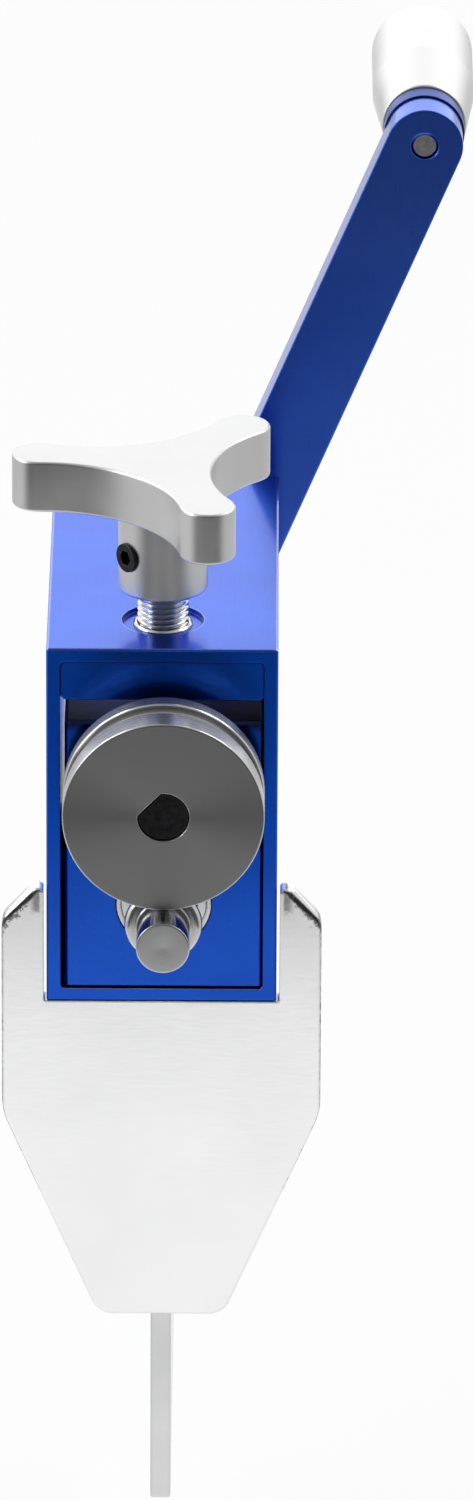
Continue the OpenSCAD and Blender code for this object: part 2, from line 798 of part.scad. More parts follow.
module upper_shaft() {
    end = upper_back + 3 * clip_t;
    tip = -roller_front + shaft_recess;
    tip_r = roller_bore / 2;
    color("dimgray") at_housing() on_upper_axis() union() {
        intersection() {
            extrude_back(tip, -roller_back) d_outline(tip_r, shaft_flat, flat_angle);
            turn_back([
                [0, tip - cut], [tip_r - edge_bevel - cut, tip - cut], [tip_r + cut, tip + edge_bevel + cut],
                [tip_r + cut, -roller_back + cut], [0, -roller_back + cut]
            ]);
        }
        turn_back([
            [0, -roller_back], [shaft_r, -roller_back], [shaft_r, upper_back],
            [clip_groove_r, upper_back], [clip_groove_r, upper_back + clip_t + 2 * slip],
            [shaft_r, upper_back + clip_t + 2 * slip], [shaft_r, end - edge_bevel],
            [shaft_r - edge_bevel, end], [0, end]
        ]);
    }
}

module roller_spacer() {
    color("silver") at_housing() on_upper_axis() extrude_back(-roller_back, block_recess) difference() {
        circle(d = roller_spacer_d);
        circle(shaft_r + seat);
    }
}

module upper_bearing_inner_rings() {
    color("gainsboro") at_housing() at_upper_bearings() inner_ring(block_recess);
}

module upper_shaft_circlip() {
    clip_r = shaft_r * 1.3;
    ear_r = shaft_r * 0.3;
    ear_angle = 16;
    color("dimgray") at_housing() on_upper_axis()
        extrude_back(upper_back + slip, upper_back + slip + clip_t) difference() {
            union() {
                circle(clip_r);
                for (side = [-1, 1]) translate(around(clip_r, 270 + side * ear_angle)) circle(ear_r);
            }
            circle(clip_groove_r + seat);
            translate([-ear_r / 2, -2 * clip_r]) square([ear_r, 2 * clip_r]);
            for (side = [-1, 1]) translate(around(clip_r, 270 + side * ear_angle)) circle(ear_r / 2);
        }
}

// Mandrel, crank and grip
module mandrel_shaft() {
    dot_r = nose_d * 0.07;
    shoulder = arm_front - seat;
    tap_end = stub_end - end_screw_l - tap_room;
    color("darkgray") at_housing() on_lower_axis() difference() {
        union() {
            rotate([-90, 0, 0]) rotate_extrude() {
                polygon([
                    [0, -nose_tip + dot_r], [dot_r, -nose_tip], [nose_r - nose_bevel, -nose_tip],
                    [nose_r, -nose_tip + nose_bevel], [nose_r, -ring_at], [neck_d / 2, -ring_at],
                    [neck_d / 2, block_recess], [shaft_r, block_recess], [shaft_r, shoulder], [0, shoulder]
                ]);
                translate([0, -ring_at - ring_w / 2]) square([ring_r - ring_w / 2, ring_w]);
                translate([ring_r - ring_w / 2, -ring_at]) circle(ring_w / 2);
            }
            rotate([0, arm_lean, 0]) extrude_back(shoulder, stub_end) d_outline(stub_d / 2, stub_flat, 0);
        }
        extrude_back(tap_end, stub_end + cut) circle(end_screw_d / 2 + seat);
    }
}

module lower_bearing_inner_rings() {
    color("gainsboro") at_housing() at_lower_bearings() inner_ring(block_recess);
}

module crank_spacer() {
    color("silver") at_housing() on_lower_axis() extrude_back(block_back, arm_front) difference() {
        circle(d = crank_spacer_d);
        circle(shaft_r + seat);
    }
}

module crank_arm() {
    color("navy") at_housing() on_lower_axis() rotate([0, arm_lean, 0])
        extrude_back(arm_front, arm_back) difference() {
            union() {
                circle(d = arm_w);
                translate([0, arm_c]) circle(d = arm_w);
                translate([-arm_w / 2, 0]) square([arm_w, arm_c]);
            }
            d_outline(stub_d / 2 + seat, stub_flat + seat, 0);
            translate([0, arm_c]) circle(grip_thread_d / 2 + seat);
        }
}

module crank_end_washer() {
    color("silver") at_housing() on_lower_axis()
        extrude_back(arm_back, arm_back + end_washer_t) difference() {
            circle(d = end_washer_d);
            circle(end_screw_d / 2 + hole_gap);
        }
}

module crank_end_screw() {
    seat_at = arm_back + end_washer_t;
    head_r = end_head_d / 2;
    dome = [for (i = [0:arc_steps])
        let (a = 90 * i / arc_steps)
        [head_r * (0.55 + 0.45 * cos(a)), seat_at + end_head_h * sin(a)]];
    color("dimgray") at_housing() on_lower_axis() difference() {
        turn_back(concat(
            [[0, stub_end - end_screw_l], [end_screw_d / 2, stub_end - end_screw_l],
             [end_screw_d / 2, seat_at]],
            dome,
            [[0, seat_at + end_head_h]]));
        translate([0, seat_at + end_head_h, 0]) rotate([-90, 0, 0])
            hex_socket(end_screw_d * 0.66, end_head_h * 0.6);
    }
}

module grip_spacer() {
    color("lightsteelblue") at_housing() on_grip_axis()
        extrude_back(arm_back, arm_back + grip_spacer_t) difference() {
            circle(d = grip_spacer_d);
            circle(grip_bolt_d / 2 + seat);
        }
}

module grip_bolt() {
    tip = arm_front + grip_bolt_recess;
    tip_bevel = grip_thread_d * 0.09;
    head_at = grip_back - grip_pocket + end_play;
    color("silver") at_housing() on_grip_axis() difference() {
        turn_back([
            [0, tip], [grip_thread_d / 2 - tip_bevel, tip], [grip_thread_d / 2, tip + tip_bevel],
            [grip_thread_d / 2, arm_back], [grip_bolt_d / 2, arm_back], [grip_bolt_d / 2, head_at],
            [grip_head_d / 2, head_at], [grip_head_d / 2, head_at + grip_head_h - edge_bevel],
            [grip_head_d / 2 - edge_bevel, head_at + grip_head_h], [0, head_at + grip_head_h]
        ]);
        translate([0, head_at + grip_head_h, 0]) rotate([-90, 0, 0])
            hex_socket(grip_bolt_d * 0.62, grip_head_h * 0.5);
    }
}

module grip() {
    neck_r = grip_neck_d / 2;
    body_r = grip_d / 2;
    color("gainsboro") at_housing() on_grip_axis() turn_back(concat(
        [[grip_bolt_d / 2 + slip, grip_front], [neck_r - edge_bevel, grip_front],
         [neck_r, grip_front + edge_bevel], [body_r, grip_front + grip_flare_l]],
        arc_points(body_r - grip_end_r, grip_back - grip_end_r, grip_end_r, 0, 90),
        [[grip_head_d / 2 + end_play, grip_back], [grip_head_d / 2 + end_play, grip_back - grip_pocket],
         [grip_bolt_d / 2 + slip, grip_back - grip_pocket]]));
}

housing_tube();
nut_block();
nut_block_screws();
screw_collar();
lower_block();
guide_pins();
lower_bearing_outer_rings();
lower_bearing_balls();
bracket_front_plate();
bracket_saddle();
vise_fin();
bracket_welds();
bracket_screws();
bracket_washers();
upper_block();
upper_bearing_outer_rings();
upper_bearing_balls();
screw_retaining_pins();
adjusting_screw();
knob();
knob_set_screw();
upper_roller();
upper_shaft();
roller_spacer();
roller_set_screw();
upper_bearing_inner_rings();
upper_shaft_circlip();
mandrel_shaft();
lower_bearing_inner_rings();
crank_spacer();
crank_arm();
crank_end_washer();
crank_end_screw();
grip_spacer();
grip_bolt();
grip();
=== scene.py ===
import json
import math

import bmesh
import bpy
import numpy as np
from mathutils import Matrix, Vector


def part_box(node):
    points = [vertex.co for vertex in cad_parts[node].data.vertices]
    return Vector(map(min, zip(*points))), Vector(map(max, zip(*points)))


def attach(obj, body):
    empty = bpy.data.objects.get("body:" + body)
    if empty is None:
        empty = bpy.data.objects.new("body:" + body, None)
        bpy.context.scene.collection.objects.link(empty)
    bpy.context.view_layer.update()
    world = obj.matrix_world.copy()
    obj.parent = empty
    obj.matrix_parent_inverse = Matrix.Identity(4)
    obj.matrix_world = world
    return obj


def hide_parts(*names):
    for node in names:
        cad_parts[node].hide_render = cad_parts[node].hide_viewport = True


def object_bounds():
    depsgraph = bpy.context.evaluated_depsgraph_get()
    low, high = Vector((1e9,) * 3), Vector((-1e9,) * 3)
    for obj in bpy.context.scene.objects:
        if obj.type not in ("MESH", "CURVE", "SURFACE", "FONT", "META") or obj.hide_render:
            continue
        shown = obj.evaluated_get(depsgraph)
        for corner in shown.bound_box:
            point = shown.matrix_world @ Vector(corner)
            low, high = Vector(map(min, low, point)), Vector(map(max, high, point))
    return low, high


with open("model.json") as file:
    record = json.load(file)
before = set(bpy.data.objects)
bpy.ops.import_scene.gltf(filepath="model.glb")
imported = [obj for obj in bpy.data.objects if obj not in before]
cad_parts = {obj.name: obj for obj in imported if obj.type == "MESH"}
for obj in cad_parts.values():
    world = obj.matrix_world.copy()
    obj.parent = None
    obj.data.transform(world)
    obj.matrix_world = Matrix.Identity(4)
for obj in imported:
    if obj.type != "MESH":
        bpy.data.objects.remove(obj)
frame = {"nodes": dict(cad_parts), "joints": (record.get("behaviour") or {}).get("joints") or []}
cad_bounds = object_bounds()
nodes = frame["nodes"]
joints = {joint["name"]: joint for joint in frame["joints"]}

# Camera: a long lens in front of the tool and above it, level but for a trace of roll.
# It looks at the middle of the housing's front, which lies a little left of the picture's middle and
# below it.
house_low, house_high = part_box("housing_tube")
aim = Vector((0, house_low.y, (house_low.z + house_high.z) / 2))
aim_left, aim_below = 0.01615, 0.01656
distance = 2.5956
elevation, yaw, roll = math.radians(23.43), math.radians(0.08), math.radians(0.3)
forward = Vector((-math.sin(yaw) * math.cos(elevation),
                  math.cos(yaw) * math.cos(elevation),
                  -math.sin(elevation)))
level_right = Vector((math.cos(yaw), math.sin(yaw), 0))
level_up = level_right.cross(forward)
right = level_right * math.cos(roll) + level_up * math.sin(roll)
up = level_up * math.cos(roll) - level_right * math.sin(roll)
eye = aim + right * aim_left + up * aim_below - forward * distance
camera = bpy.data.objects.new("camera", bpy.data.cameras.new("camera"))
camera.data.sensor_width = 36
camera.data.lens = 288
camera.data.clip_end = 20
camera.matrix_world = Matrix.Translation(eye) @ Matrix((right, up, -forward)).transposed().to_4x4()
bpy.context.scene.collection.objects.link(camera)
bpy.context.scene.camera = camera
bpy.context.scene.view_settings.view_transform = "Standard"


# Floor: a white table below the tool, which narrows towards its front edge a short way before it.
# For the camera it is nearly white by itself and keeps a trace of the tool's shadow. In reflections its
# light falls off to the sides.
def add_node(tree, kind, inputs=None, **settings):
    """Adds a node to a tree; an input takes a plain value or another node's output."""
    made = tree.nodes.new(kind)
    for setting, value in settings.items():
        setattr(made, setting, value)
    for socket, value in (inputs or {}).items():
        if isinstance(value, bpy.types.NodeSocket):
            tree.links.new(value, made.inputs[socket])
        else:
            made.inputs[socket].default_value = value
    return made


def maths(tree, operation, *values):
    """The result of a maths node on plain values or other nodes' outputs."""
    return add_node(tree, "ShaderNodeMath", dict(enumerate(values)), operation=operation).outputs[0]


def axis_of(tree, vector, axis):
    """One coordinate of a vector."""
    return add_node(tree, "ShaderNodeSeparateXYZ", {0: vector}).outputs[axis]


def remap(tree, value, low, high, from_low=0.3, from_high=0.7):
    """A value moved from one range to another and held at its ends."""
    return add_node(tree, "ShaderNodeMapRange", {"Value": value, "From Min": from_low, "From Max": from_high,
                                                 "To Min": low, "To Max": high}).outputs[0]


floor_drop = 0.03
floor_z = cad_bounds[0][2] - floor_drop
floor_half = np.array([(0.2, -0.46), (0.4, -0.1), (4.0, 0.5), (4.0, 6.0)])
floor_outline = np.concatenate([floor_half, floor_half[::-1] * [-1, 1]])
floor_corners = np.column_stack([floor_outline, np.full(len(floor_outline), floor_z)])
floor_mesh = bpy.data.meshes.new("floor")
floor_mesh.from_pydata(floor_corners.tolist(), [], [list(range(len(floor_corners)))])
floor = bpy.data.objects.new("floor", floor_mesh)
bpy.context.scene.collection.objects.link(floor)
table_white = (0.86, 0.86, 0.87, 1)
own_light, side_light = 0.9, 0.6
bright_to, dim_from = 0.12, 0.4
white_table = bpy.data.materials.new("white_table")
white_table.use_nodes = True
tree = white_table.node_tree
tree.nodes.clear()
lit = add_node(tree, "ShaderNodeBsdfDiffuse", {"Color": table_white})
table_place = add_node(tree, "ShaderNodeTexCoord").outputs["Object"]
table_side = maths(tree, "ABSOLUTE", axis_of(tree, table_place, "X"))
side_level = remap(tree, table_side, 1.0, side_light, bright_to, dim_from)
path = add_node(tree, "ShaderNodeLightPath").outputs
table_level = maths(tree, "MAXIMUM", side_level, path["Is Camera Ray"])
bright = add_node(tree, "ShaderNodeEmission", {"Color": (1, 1, 1, 1), "Strength": table_level})
seen = maths(tree, "MAXIMUM", path["Is Camera Ray"], path["Is Glossy Ray"])
seen = maths(tree, "MAXIMUM", seen, path["Is Transmission Ray"])
table_shader = add_node(tree, "ShaderNodeMixShader", {
    0: maths(tree, "MULTIPLY", seen, own_light), 1: lit.outputs[0], 2: bright.outputs[0]})
add_node(tree, "ShaderNodeOutputMaterial", {"Surface": table_shader.outputs[0]})
floor_mesh.materials.append(white_table)

# Light: a white room with a bright screen behind the tool, and a dim space overhead and behind the camera,
# so that level metal looks white and upright metal is darker the higher it stands over the table.
# Each row of room_parts lays a level over those before it, from where it starts to where it is full.
white_room, right_wall, low_walls, screen, zenith, dim_space = 1.0, 0.7, 0.6, 1.3, 0.35, 0.11
room_parts = (("X", 0.2, 0.8, right_wall), ("Z", -0.05, -0.4, low_walls), ("Y", 0.55, 0.85, screen),
              ("Z", 0.75, 0.97, zenith), ("Y", -0.25, -0.7, dim_space))
world = bpy.data.worlds.new("studio")
bpy.context.scene.world = world
world.use_nodes = True
tree = world.node_tree
tree.nodes.clear()
heading = add_node(tree, "ShaderNodeTexCoord").outputs["Generated"]
room = white_room
for axis, starts, full, level in room_parts:
    share = add_node(tree, "ShaderNodeMapRange",
                     {"Value": axis_of(tree, heading, axis), "From Min": starts, "From Max": full},
                     interpolation_type="SMOOTHSTEP").outputs[0]
    room = add_node(tree, "ShaderNodeMix", {0: share, 2: room, 3: level}).outputs[0]
path = add_node(tree, "ShaderNodeLightPath").outputs
backdrop = add_node(tree, "ShaderNodeMix", {0: path["Is Camera Ray"], 2: room, 3: 1.0})
background = add_node(tree, "ShaderNodeBackground", {"Color": (1, 1, 1, 1), "Strength": backdrop.outputs[0]})
add_node(tree, "ShaderNodeOutputWorld", {"Surface": background.outputs[0]})


def softbox(name, place, target, size, watts):
    """A square area lamp at a place, turned to a target."""
    lamp = bpy.data.lights.new(name, "AREA")
    lamp.size = size
    lamp.energy = watts
    holder = bpy.data.objects.new(name, lamp)
    turn = (Vector(place) - Vector(target)).to_track_quat("Z", "Y")
    holder.matrix_world = Matrix.Translation(place) @ turn.to_matrix().to_4x4()
    bpy.context.scene.collection.objects.link(holder)


softbox("high_left_light", (-1.0, 0.4, 1.2), aim, size=0.7, watts=5)
softbox("high_right_light", (1.0, 0.4, 1.2), aim, size=0.7, watts=5)
softbox("left_light", (-1.5, -0.5, 0.7), aim, size=0.6, watts=4)


# Housing and blocks: a length of rectangular aluminium tube with milled aluminium blocks in it.
# All are satin anodised in one strong blue, with fine draw lines along the tube. The pale arrises on top
# of the tube are a painted highlight, and painted shade darkens narrow gaps and the sliding block's top.
def start_finish(name, **constants):
    """A material with constant values on its shader's own sockets; returns it with its tree and shader."""
    made = bpy.data.materials.new(name)
    made.use_nodes = True
    shader = made.node_tree.nodes["Principled BSDF"]
    for socket, value in constants.items():
        shader.inputs[socket.replace("_", " ")].default_value = value
    return made, made.node_tree, shader


def object_place(tree, scale=(1, 1, 1), centre=(0, 0, 0)):
    """Object coordinates from a centre, stretched by a scale on each axis."""
    place = add_node(tree, "ShaderNodeTexCoord").outputs["Object"]
    back = tuple(-c for c in centre)
    moved = add_node(tree, "ShaderNodeVectorMath", {0: place, 1: back}, operation="ADD").outputs[0]
    return add_node(tree, "ShaderNodeVectorMath", {0: moved, 1: scale}, operation="MULTIPLY").outputs[0]


def noise(tree, vector, scale, detail=2.0, roughness=0.5):
    """Smooth noise from 0 to 1, one lump about every 1/scale metres."""
    return add_node(tree, "ShaderNodeTexNoise", {"Vector": vector, "Scale": scale, "Detail": detail,
                                                 "Roughness": roughness}).outputs[0]


def blend(tree, share, first, second):
    """A colour between two colours, by a share."""
    return add_node(tree, "ShaderNodeMix", {0: share, 6: first, 7: second}, data_type="RGBA").outputs[2]


def mottled(tree, pattern, first, second):
    """A colour that changes between two tones with a pattern."""
    return blend(tree, remap(tree, pattern, 0, 1), first, second)


def true_normal(tree):
    """The surface's own normal."""
    return add_node(tree, "ShaderNodeNewGeometry").outputs["Normal"]


def rounded_normal(tree, radius):
    """The surface's normal as if its edges were rounded by a radius."""
    return add_node(tree, "ShaderNodeBevel", {"Radius": radius}, samples=4).outputs[0]


def arris_mask(tree, rounded):
    """From 0 on a flat to 1 on an arris: how far the rounded normal turns from the true one."""
    full_arris_at, no_arris_at = 0.9, 0.995
    same = add_node(tree, "ShaderNodeVectorMath", {0: rounded, 1: true_normal(tree)}, operation="DOT_PRODUCT")
    return remap(tree, same.outputs["Value"], 1.0, 0.0, full_arris_at, no_arris_at)


def painted_crevice_shade(tree, reach):
    """From 0 in the open to 1 deep in a narrow gap: how much of the space within a reach is closed off. It
    masks painted shade in gaps.
    """
    deep_share, clear_share = 0.3, 0.65
    open_share = add_node(tree, "ShaderNodeAmbientOcclusion", {"Distance": reach}, samples=6)
    return remap(tree, open_share.outputs["AO"], 1.0, 0.0, deep_share, clear_share)


def bump(tree, height, depth, normal=None):
    """A normal disturbed by a height from 0 to 1 of so many metres."""
    inputs = {"Height": height, "Distance": depth, "Strength": 1.0}
    if normal is not None:
        inputs["Normal"] = normal
    return add_node(tree, "ShaderNodeBump", inputs).outputs[0]


def wire(tree, shader, **sources):
    """Links node outputs to the shader's sockets."""
    for socket, source in sources.items():
        tree.links.new(source, shader.inputs[socket.replace("_", " ")])


blue_painted_shade, black_painted_shade = (0.002, 0.014, 0.25, 1), (0.004, 0.005, 0.01, 1)


def anodised(name, deep, light, arris_tone, draw_scale, gap=0.007, painted_highlight_on_top=False, shade_tone=blue_painted_shade, shade_z=None,
             coat=1.0):
    """Satin anodised aluminium: two close tones in soft clouds, draw lines on the given scale, arrises of
    their own tone all round or only where they look up, where a pale arris tone is a painted highlight, and
    painted shade in gaps about as narrow as given and above a height."""
    cloud_scale, arris_r, line_depth = 45, 0.0005, 0.0000015
    shade_share, shade_fade = 0.9, 0.0025
    made, tree, shader = start_finish(name, Metallic=1.0, Coat_Weight=coat, Coat_Roughness=0.12,
                                      Coat_IOR=1.25)
    clouds = noise(tree, object_place(tree), cloud_scale)
    lines = noise(tree, object_place(tree, draw_scale), 1.0, detail=4.0, roughness=0.65)
    rounded = rounded_normal(tree, arris_r)
    edge = arris_mask(tree, rounded)
    # Painted highlight: where asked, only arrises that look up take the arris tone, as light from above falls
    # on them.
    if painted_highlight_on_top:
        edge = maths(tree, "MULTIPLY", edge, remap(tree, axis_of(tree, rounded, "Z"), 0, 1))
    tone = blend(tree, edge, mottled(tree, clouds, deep, light), arris_tone)
    # Painted shade: above a height the tone darkens to the shade tone.
    if shade_z is not None:
        height = axis_of(tree, object_place(tree), "Z")
        tone = blend(tree, remap(tree, height, 0, shade_share, shade_z - shade_fade, shade_z), tone, shade_tone)
    # Painted shade: narrow gaps darken to the shade tone.
    wire(tree, shader, Base_Color=blend(tree, painted_crevice_shade(tree, gap), tone, shade_tone),
         Roughness=remap(tree, lines, 0.27, 0.34), Normal=bump(tree, lines, line_depth, rounded))
    return made


def dress(material, *names):
    """Puts a material on CAD nodes."""
    for name in names:
        nodes[name].material_slots[0].material = material


deep_blue, light_blue = (0.002, 0.095, 0.68, 1), (0.004, 0.115, 0.78, 1)
# The tube's pale arris tone is a painted highlight on its upper arrises.
tube_arris_highlight, block_arris = (0.42, 0.54, 0.95, 1), (0.01, 0.12, 0.74, 1)
tube_draw, block_draw = (5200, 60, 5200), (420, 3000, 5200)
# Painted shade: the nut block's gaps and the sliding block's top under it darken to near black, other gaps to
# deep blue.
shade_drop = 0.0006
dress(anodised("tube_blue", deep_blue, light_blue, tube_arris_highlight, tube_draw, painted_highlight_on_top=True), "housing_tube")
dress(anodised("block_blue", deep_blue, light_blue, block_arris, block_draw), "lower_block")
dress(anodised("nut_blue", deep_blue, light_blue, block_arris, block_draw, shade_tone=black_painted_shade), "nut_block")
dress(anodised("sliding_blue", deep_blue, light_blue, block_arris, block_draw, shade_tone=black_painted_shade,
               shade_z=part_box("upper_block")[1].z - shade_drop), "upper_block")


# Black steel: set screws, cap screws, countersunk screws, the circlip and the upper shaft, all black oxide.
# The shaft's end shows in the roller's bore. The finish is a deep warm black with a slight oily sheen,
# rubbed paler on the arrises.
def black_oxide():
    """Black oxide on steel: near black with soft blotches, rubbed grey at the arrises."""
    blotch_scale, blotch_depth, arris_r = 700, 0.000006, 0.0003
    black, worn_black, rubbed = (0.012, 0.012, 0.014, 1), (0.03, 0.029, 0.031, 1), (0.10, 0.10, 0.105, 1)
    made, tree, shader = start_finish("black_oxide", Metallic=0.85)
    blotch = noise(tree, object_place(tree), blotch_scale, detail=3)
    rounded = rounded_normal(tree, arris_r)
    tone = mottled(tree, blotch, black, worn_black)
    wire(tree, shader, Base_Color=blend(tree, arris_mask(tree, rounded), tone, rubbed),
         Roughness=remap(tree, blotch, 0.32, 0.5), Normal=bump(tree, blotch, blotch_depth, rounded))
    return made


dress(black_oxide(), "nut_block_screws", "bracket_screws", "knob_set_screw", "roller_set_screw",
      "upper_shaft_circlip", "crank_end_screw", "upper_shaft")


# Bearings: thin ball bearings pressed into both blocks, of ground and honed bearing steel.
# Their rings have fine grinding lines round the shaft, and the balls are mirror bright.
def ring_lines(tree, centre, pitch):
    """Random turning lines round an axis along Y: noise over radius plus depth, about one line a pitch."""
    place = object_place(tree, (1, 0, 1), centre)
    radius = add_node(tree, "ShaderNodeVectorMath", {0: place}, operation="LENGTH").outputs["Value"]
    depth = axis_of(tree, object_place(tree), "Y")
    turns = maths(tree, "MULTIPLY", maths(tree, "ADD", radius, depth), 1 / pitch)
    return add_node(tree, "ShaderNodeTexNoise", {"W": turns, "Scale": 1.0, "Detail": 3.0},
                    noise_dimensions="1D").outputs[0]


def turned_steel(name, centre, dark, light, glossiest, dullest, pitch, depth, anisotropy, face_shade=1.0):
    """Steel with turning lines round an axis along Y, which also vary its gloss. Faces across the axis are
    rougher, and their tone falls to a share of the dark tone, a painted shade."""
    stain_scale, arris_r, face_rough = 120, 0.0003, 0.06
    face_starts, face_full = 0.75, 0.97
    made, tree, shader = start_finish(name, Metallic=1.0, Anisotropic=anisotropy, Anisotropic_Rotation=0.25)
    lines = ring_lines(tree, centre, pitch)
    tone = mottled(tree, noise(tree, object_place(tree), stain_scale, detail=3), dark, light)
    gloss = remap(tree, lines, glossiest, dullest)
    # Painted shade: faces across the axis darken.
    if face_shade < 1:
        across = maths(tree, "ABSOLUTE", axis_of(tree, true_normal(tree), "Y"))
        face = remap(tree, across, 0, 1, face_starts, face_full)
        tone = blend(tree, face, tone, tuple(c * face_shade for c in dark[:3]) + (1,))
        gloss = maths(tree, "MULTIPLY_ADD", face, face_rough, gloss)
    around = add_node(tree, "ShaderNodeTangent", direction_type="RADIAL", axis="Y").outputs[0]
    wire(tree, shader, Base_Color=tone, Roughness=gloss, Tangent=around,
         Normal=bump(tree, lines, depth, rounded_normal(tree, arris_r)))
    return made


upper_axis = Vector(joints["roller_spin"]["pos_m"])
lower_axis = Vector(joints["crank_spin"]["pos_m"])
axes = {"upper": upper_axis, "lower": lower_axis}
bearing_steel = {}
for level, axis in axes.items():
    bearing_steel[level] = turned_steel(
        f"{level}_bearing_steel", axis, (0.60, 0.61, 0.62, 1), (0.70, 0.70, 0.71, 1), glossiest=0.10,
        dullest=0.2, pitch=0.00012, depth=0.000001, anisotropy=0.3)
    dress(bearing_steel[level], f"{level}_bearing_outer_rings", f"{level}_bearing_balls",
          f"{level}_bearing_inner_rings")

# Spacers and pins: hardened steel, turned or ground bright. Most lie inside the blocks: the roller's spacer,
# the pins that guide the sliding block and the pins that hold the screw's end in it.
# The crank's spacer shows behind the housing.
bright_pieces = {"upper": ("roller_spacer", "guide_pins", "screw_retaining_pins"), "lower": ("crank_spacer",)}
for level, names in bright_pieces.items():
    shaft_steel = turned_steel(
        f"{level}_shaft_steel", axes[level], (0.42, 0.42, 0.43, 1), (0.55, 0.55, 0.56, 1), glossiest=0.2,
        dullest=0.32, pitch=0.0002, depth=0.000002, anisotropy=0.4)
    dress(shaft_steel, *names)


# Grooved roller: turned from hardened steel, faced with fine rings and polished on its rims and groove.
# It is pushed on the shaft's flat, set by a screw in the groove's floor, and runs over the mandrel.
def eased(points, radii, steps, closed):
    """A polyline whose corners are arcs: each arc touches both sides of its corner, about a centre on the
    corner's bisector at radius / sin(half angle). Returns the points, and normals to the line's right."""
    points = np.asarray(points, float)
    radii = np.asarray(radii, float)
    before = np.roll(points, 1, axis=0)
    after = np.roll(points, -1, axis=0)
    if not closed:
        before[0] = 2 * points[0] - points[1]
        after[-1] = 2 * points[-1] - points[-2]
    arrive = points - before
    leave = after - points
    arrive /= np.linalg.norm(arrive, axis=1, keepdims=True)
    leave /= np.linalg.norm(leave, axis=1, keepdims=True)
    turn = np.arctan2(arrive[:, 0] * leave[:, 1] - arrive[:, 1] * leave[:, 0], (arrive * leave).sum(axis=1))
    side = np.where(turn < 0, -1.0, 1.0)
    inward = np.stack([-arrive[:, 1], arrive[:, 0]], axis=1) * side[:, None]
    start = points - arrive * (radii * np.tan(np.abs(turn) / 2))[:, None]
    centre = start + inward * radii[:, None]
    first = np.arctan2(-inward[:, 1], -inward[:, 0])
    angle = first[:, None] + turn[:, None] * np.linspace(0, 1, steps)
    spoke = np.stack([np.cos(angle), np.sin(angle)], axis=2)
    line = centre[:, None] + radii[:, None, None] * spoke
    return line.reshape(-1, 2), (spoke * side[:, None, None]).reshape(-1, 2)


def full_turn(count):
    """Angles of a full turn in equal steps."""
    return np.linspace(0, 2 * np.pi, count, endpoint=False)


def swept(profile, angle):
    """Rings round a local Z axis: each profile point (radius, height) at all of the angles."""
    radius, height = np.asarray(profile, float).T
    return np.stack([radius[:, None] * np.cos(angle), radius[:, None] * np.sin(angle),
                     np.repeat(height[:, None], len(angle), axis=1)], axis=2)


def turned(profile, count):
    """Rings round a local Z axis: each profile point (radius, height) swept through a full turn."""
    return swept(profile, full_turn(count))


def stacked(radius, angle, heights):
    """Rings of one outline, given as a radius at each angle, repeated at several heights."""
    outline = np.stack([radius * np.cos(angle), radius * np.sin(angle)], axis=1)
    return np.stack([np.column_stack([outline, np.full(len(angle), height)]) for height in heights])


def d_radius(angle, radius, flat, flat_angle):
    """Radius of a circle with one flat, as the lesser of the circle and the flat's line."""
    facing = np.cos(angle - flat_angle)
    return np.where(facing * radius > flat, flat / np.maximum(facing, 1e-3), radius)


def skin(name, rings, loop=False):
    """A closed mesh through a stack of closed rings: quads join each ring to the next. The first and last
    ring are closed by a flat face each, or joined to each other where the stack is a loop."""
    rows, columns, _ = rings.shape
    index = np.arange(rows * columns).reshape(rows, columns)
    near = index if loop else index[:-1]
    far = np.roll(index, -1, axis=0) if loop else index[1:]
    quads = np.stack([near, np.roll(near, -1, axis=1), np.roll(far, -1, axis=1), far], axis=2)
    faces = quads.reshape(-1, 4).tolist()
    if not loop:
        faces += [index[0, ::-1].tolist(), index[-1].tolist()]
    mesh = bpy.data.meshes.new(name)
    mesh.from_pydata(rings.reshape(-1, 3).tolist(), [], faces)
    same_place = 1e-7
    body = bmesh.new()
    body.from_mesh(mesh)
    bmesh.ops.remove_doubles(body, verts=body.verts, dist=same_place)
    bmesh.ops.dissolve_degenerate(body, edges=body.edges, dist=same_place)
    bmesh.ops.recalc_face_normals(body, faces=body.faces)
    body.to_mesh(mesh)
    body.free()
    made = bpy.data.objects.new(name, mesh)
    bpy.context.scene.collection.objects.link(made)
    return made


def drill(piece, *cutters):
    """Cuts closed meshes out of a piece and deletes them."""
    for cutter in cutters:
        hole = piece.modifiers.new("hole", "BOOLEAN")
        hole.object = cutter
        hole.solver = "EXACT"
    shown = piece.evaluated_get(bpy.context.evaluated_depsgraph_get())
    cut = bpy.data.meshes.new_from_object(shown)
    piece.modifiers.clear()
    piece.data = cut
    for cutter in cutters:
        bpy.data.objects.remove(cutter)


def smooth(piece):
    """Smooth shading with sharp edges over 30 degrees; flats keep their own normal."""
    piece.data.polygons.foreach_set("use_smooth", np.ones(len(piece.data.polygons), bool))
    piece.data.set_sharp_from_angle(angle=math.radians(30))
    flats = piece.modifiers.new("flats", "WEIGHTED_NORMAL")
    flats.keep_sharp = True


def fit(piece, body, material, slot, *replaced):
    """Gives a piece its finish and its body, and puts it in place of CAD nodes."""
    piece.data.materials.clear()
    piece.data.materials.append(material)
    smooth(piece)
    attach(piece, body)
    if replaced:
        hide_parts(*replaced)


def along_y(rings, axis):
    """Rings round local Z laid along Y from front to back, with local Y up, about an axis."""
    return np.stack([rings[..., 0] + axis.x, rings[..., 2], rings[..., 1] + axis.z], axis=-1)


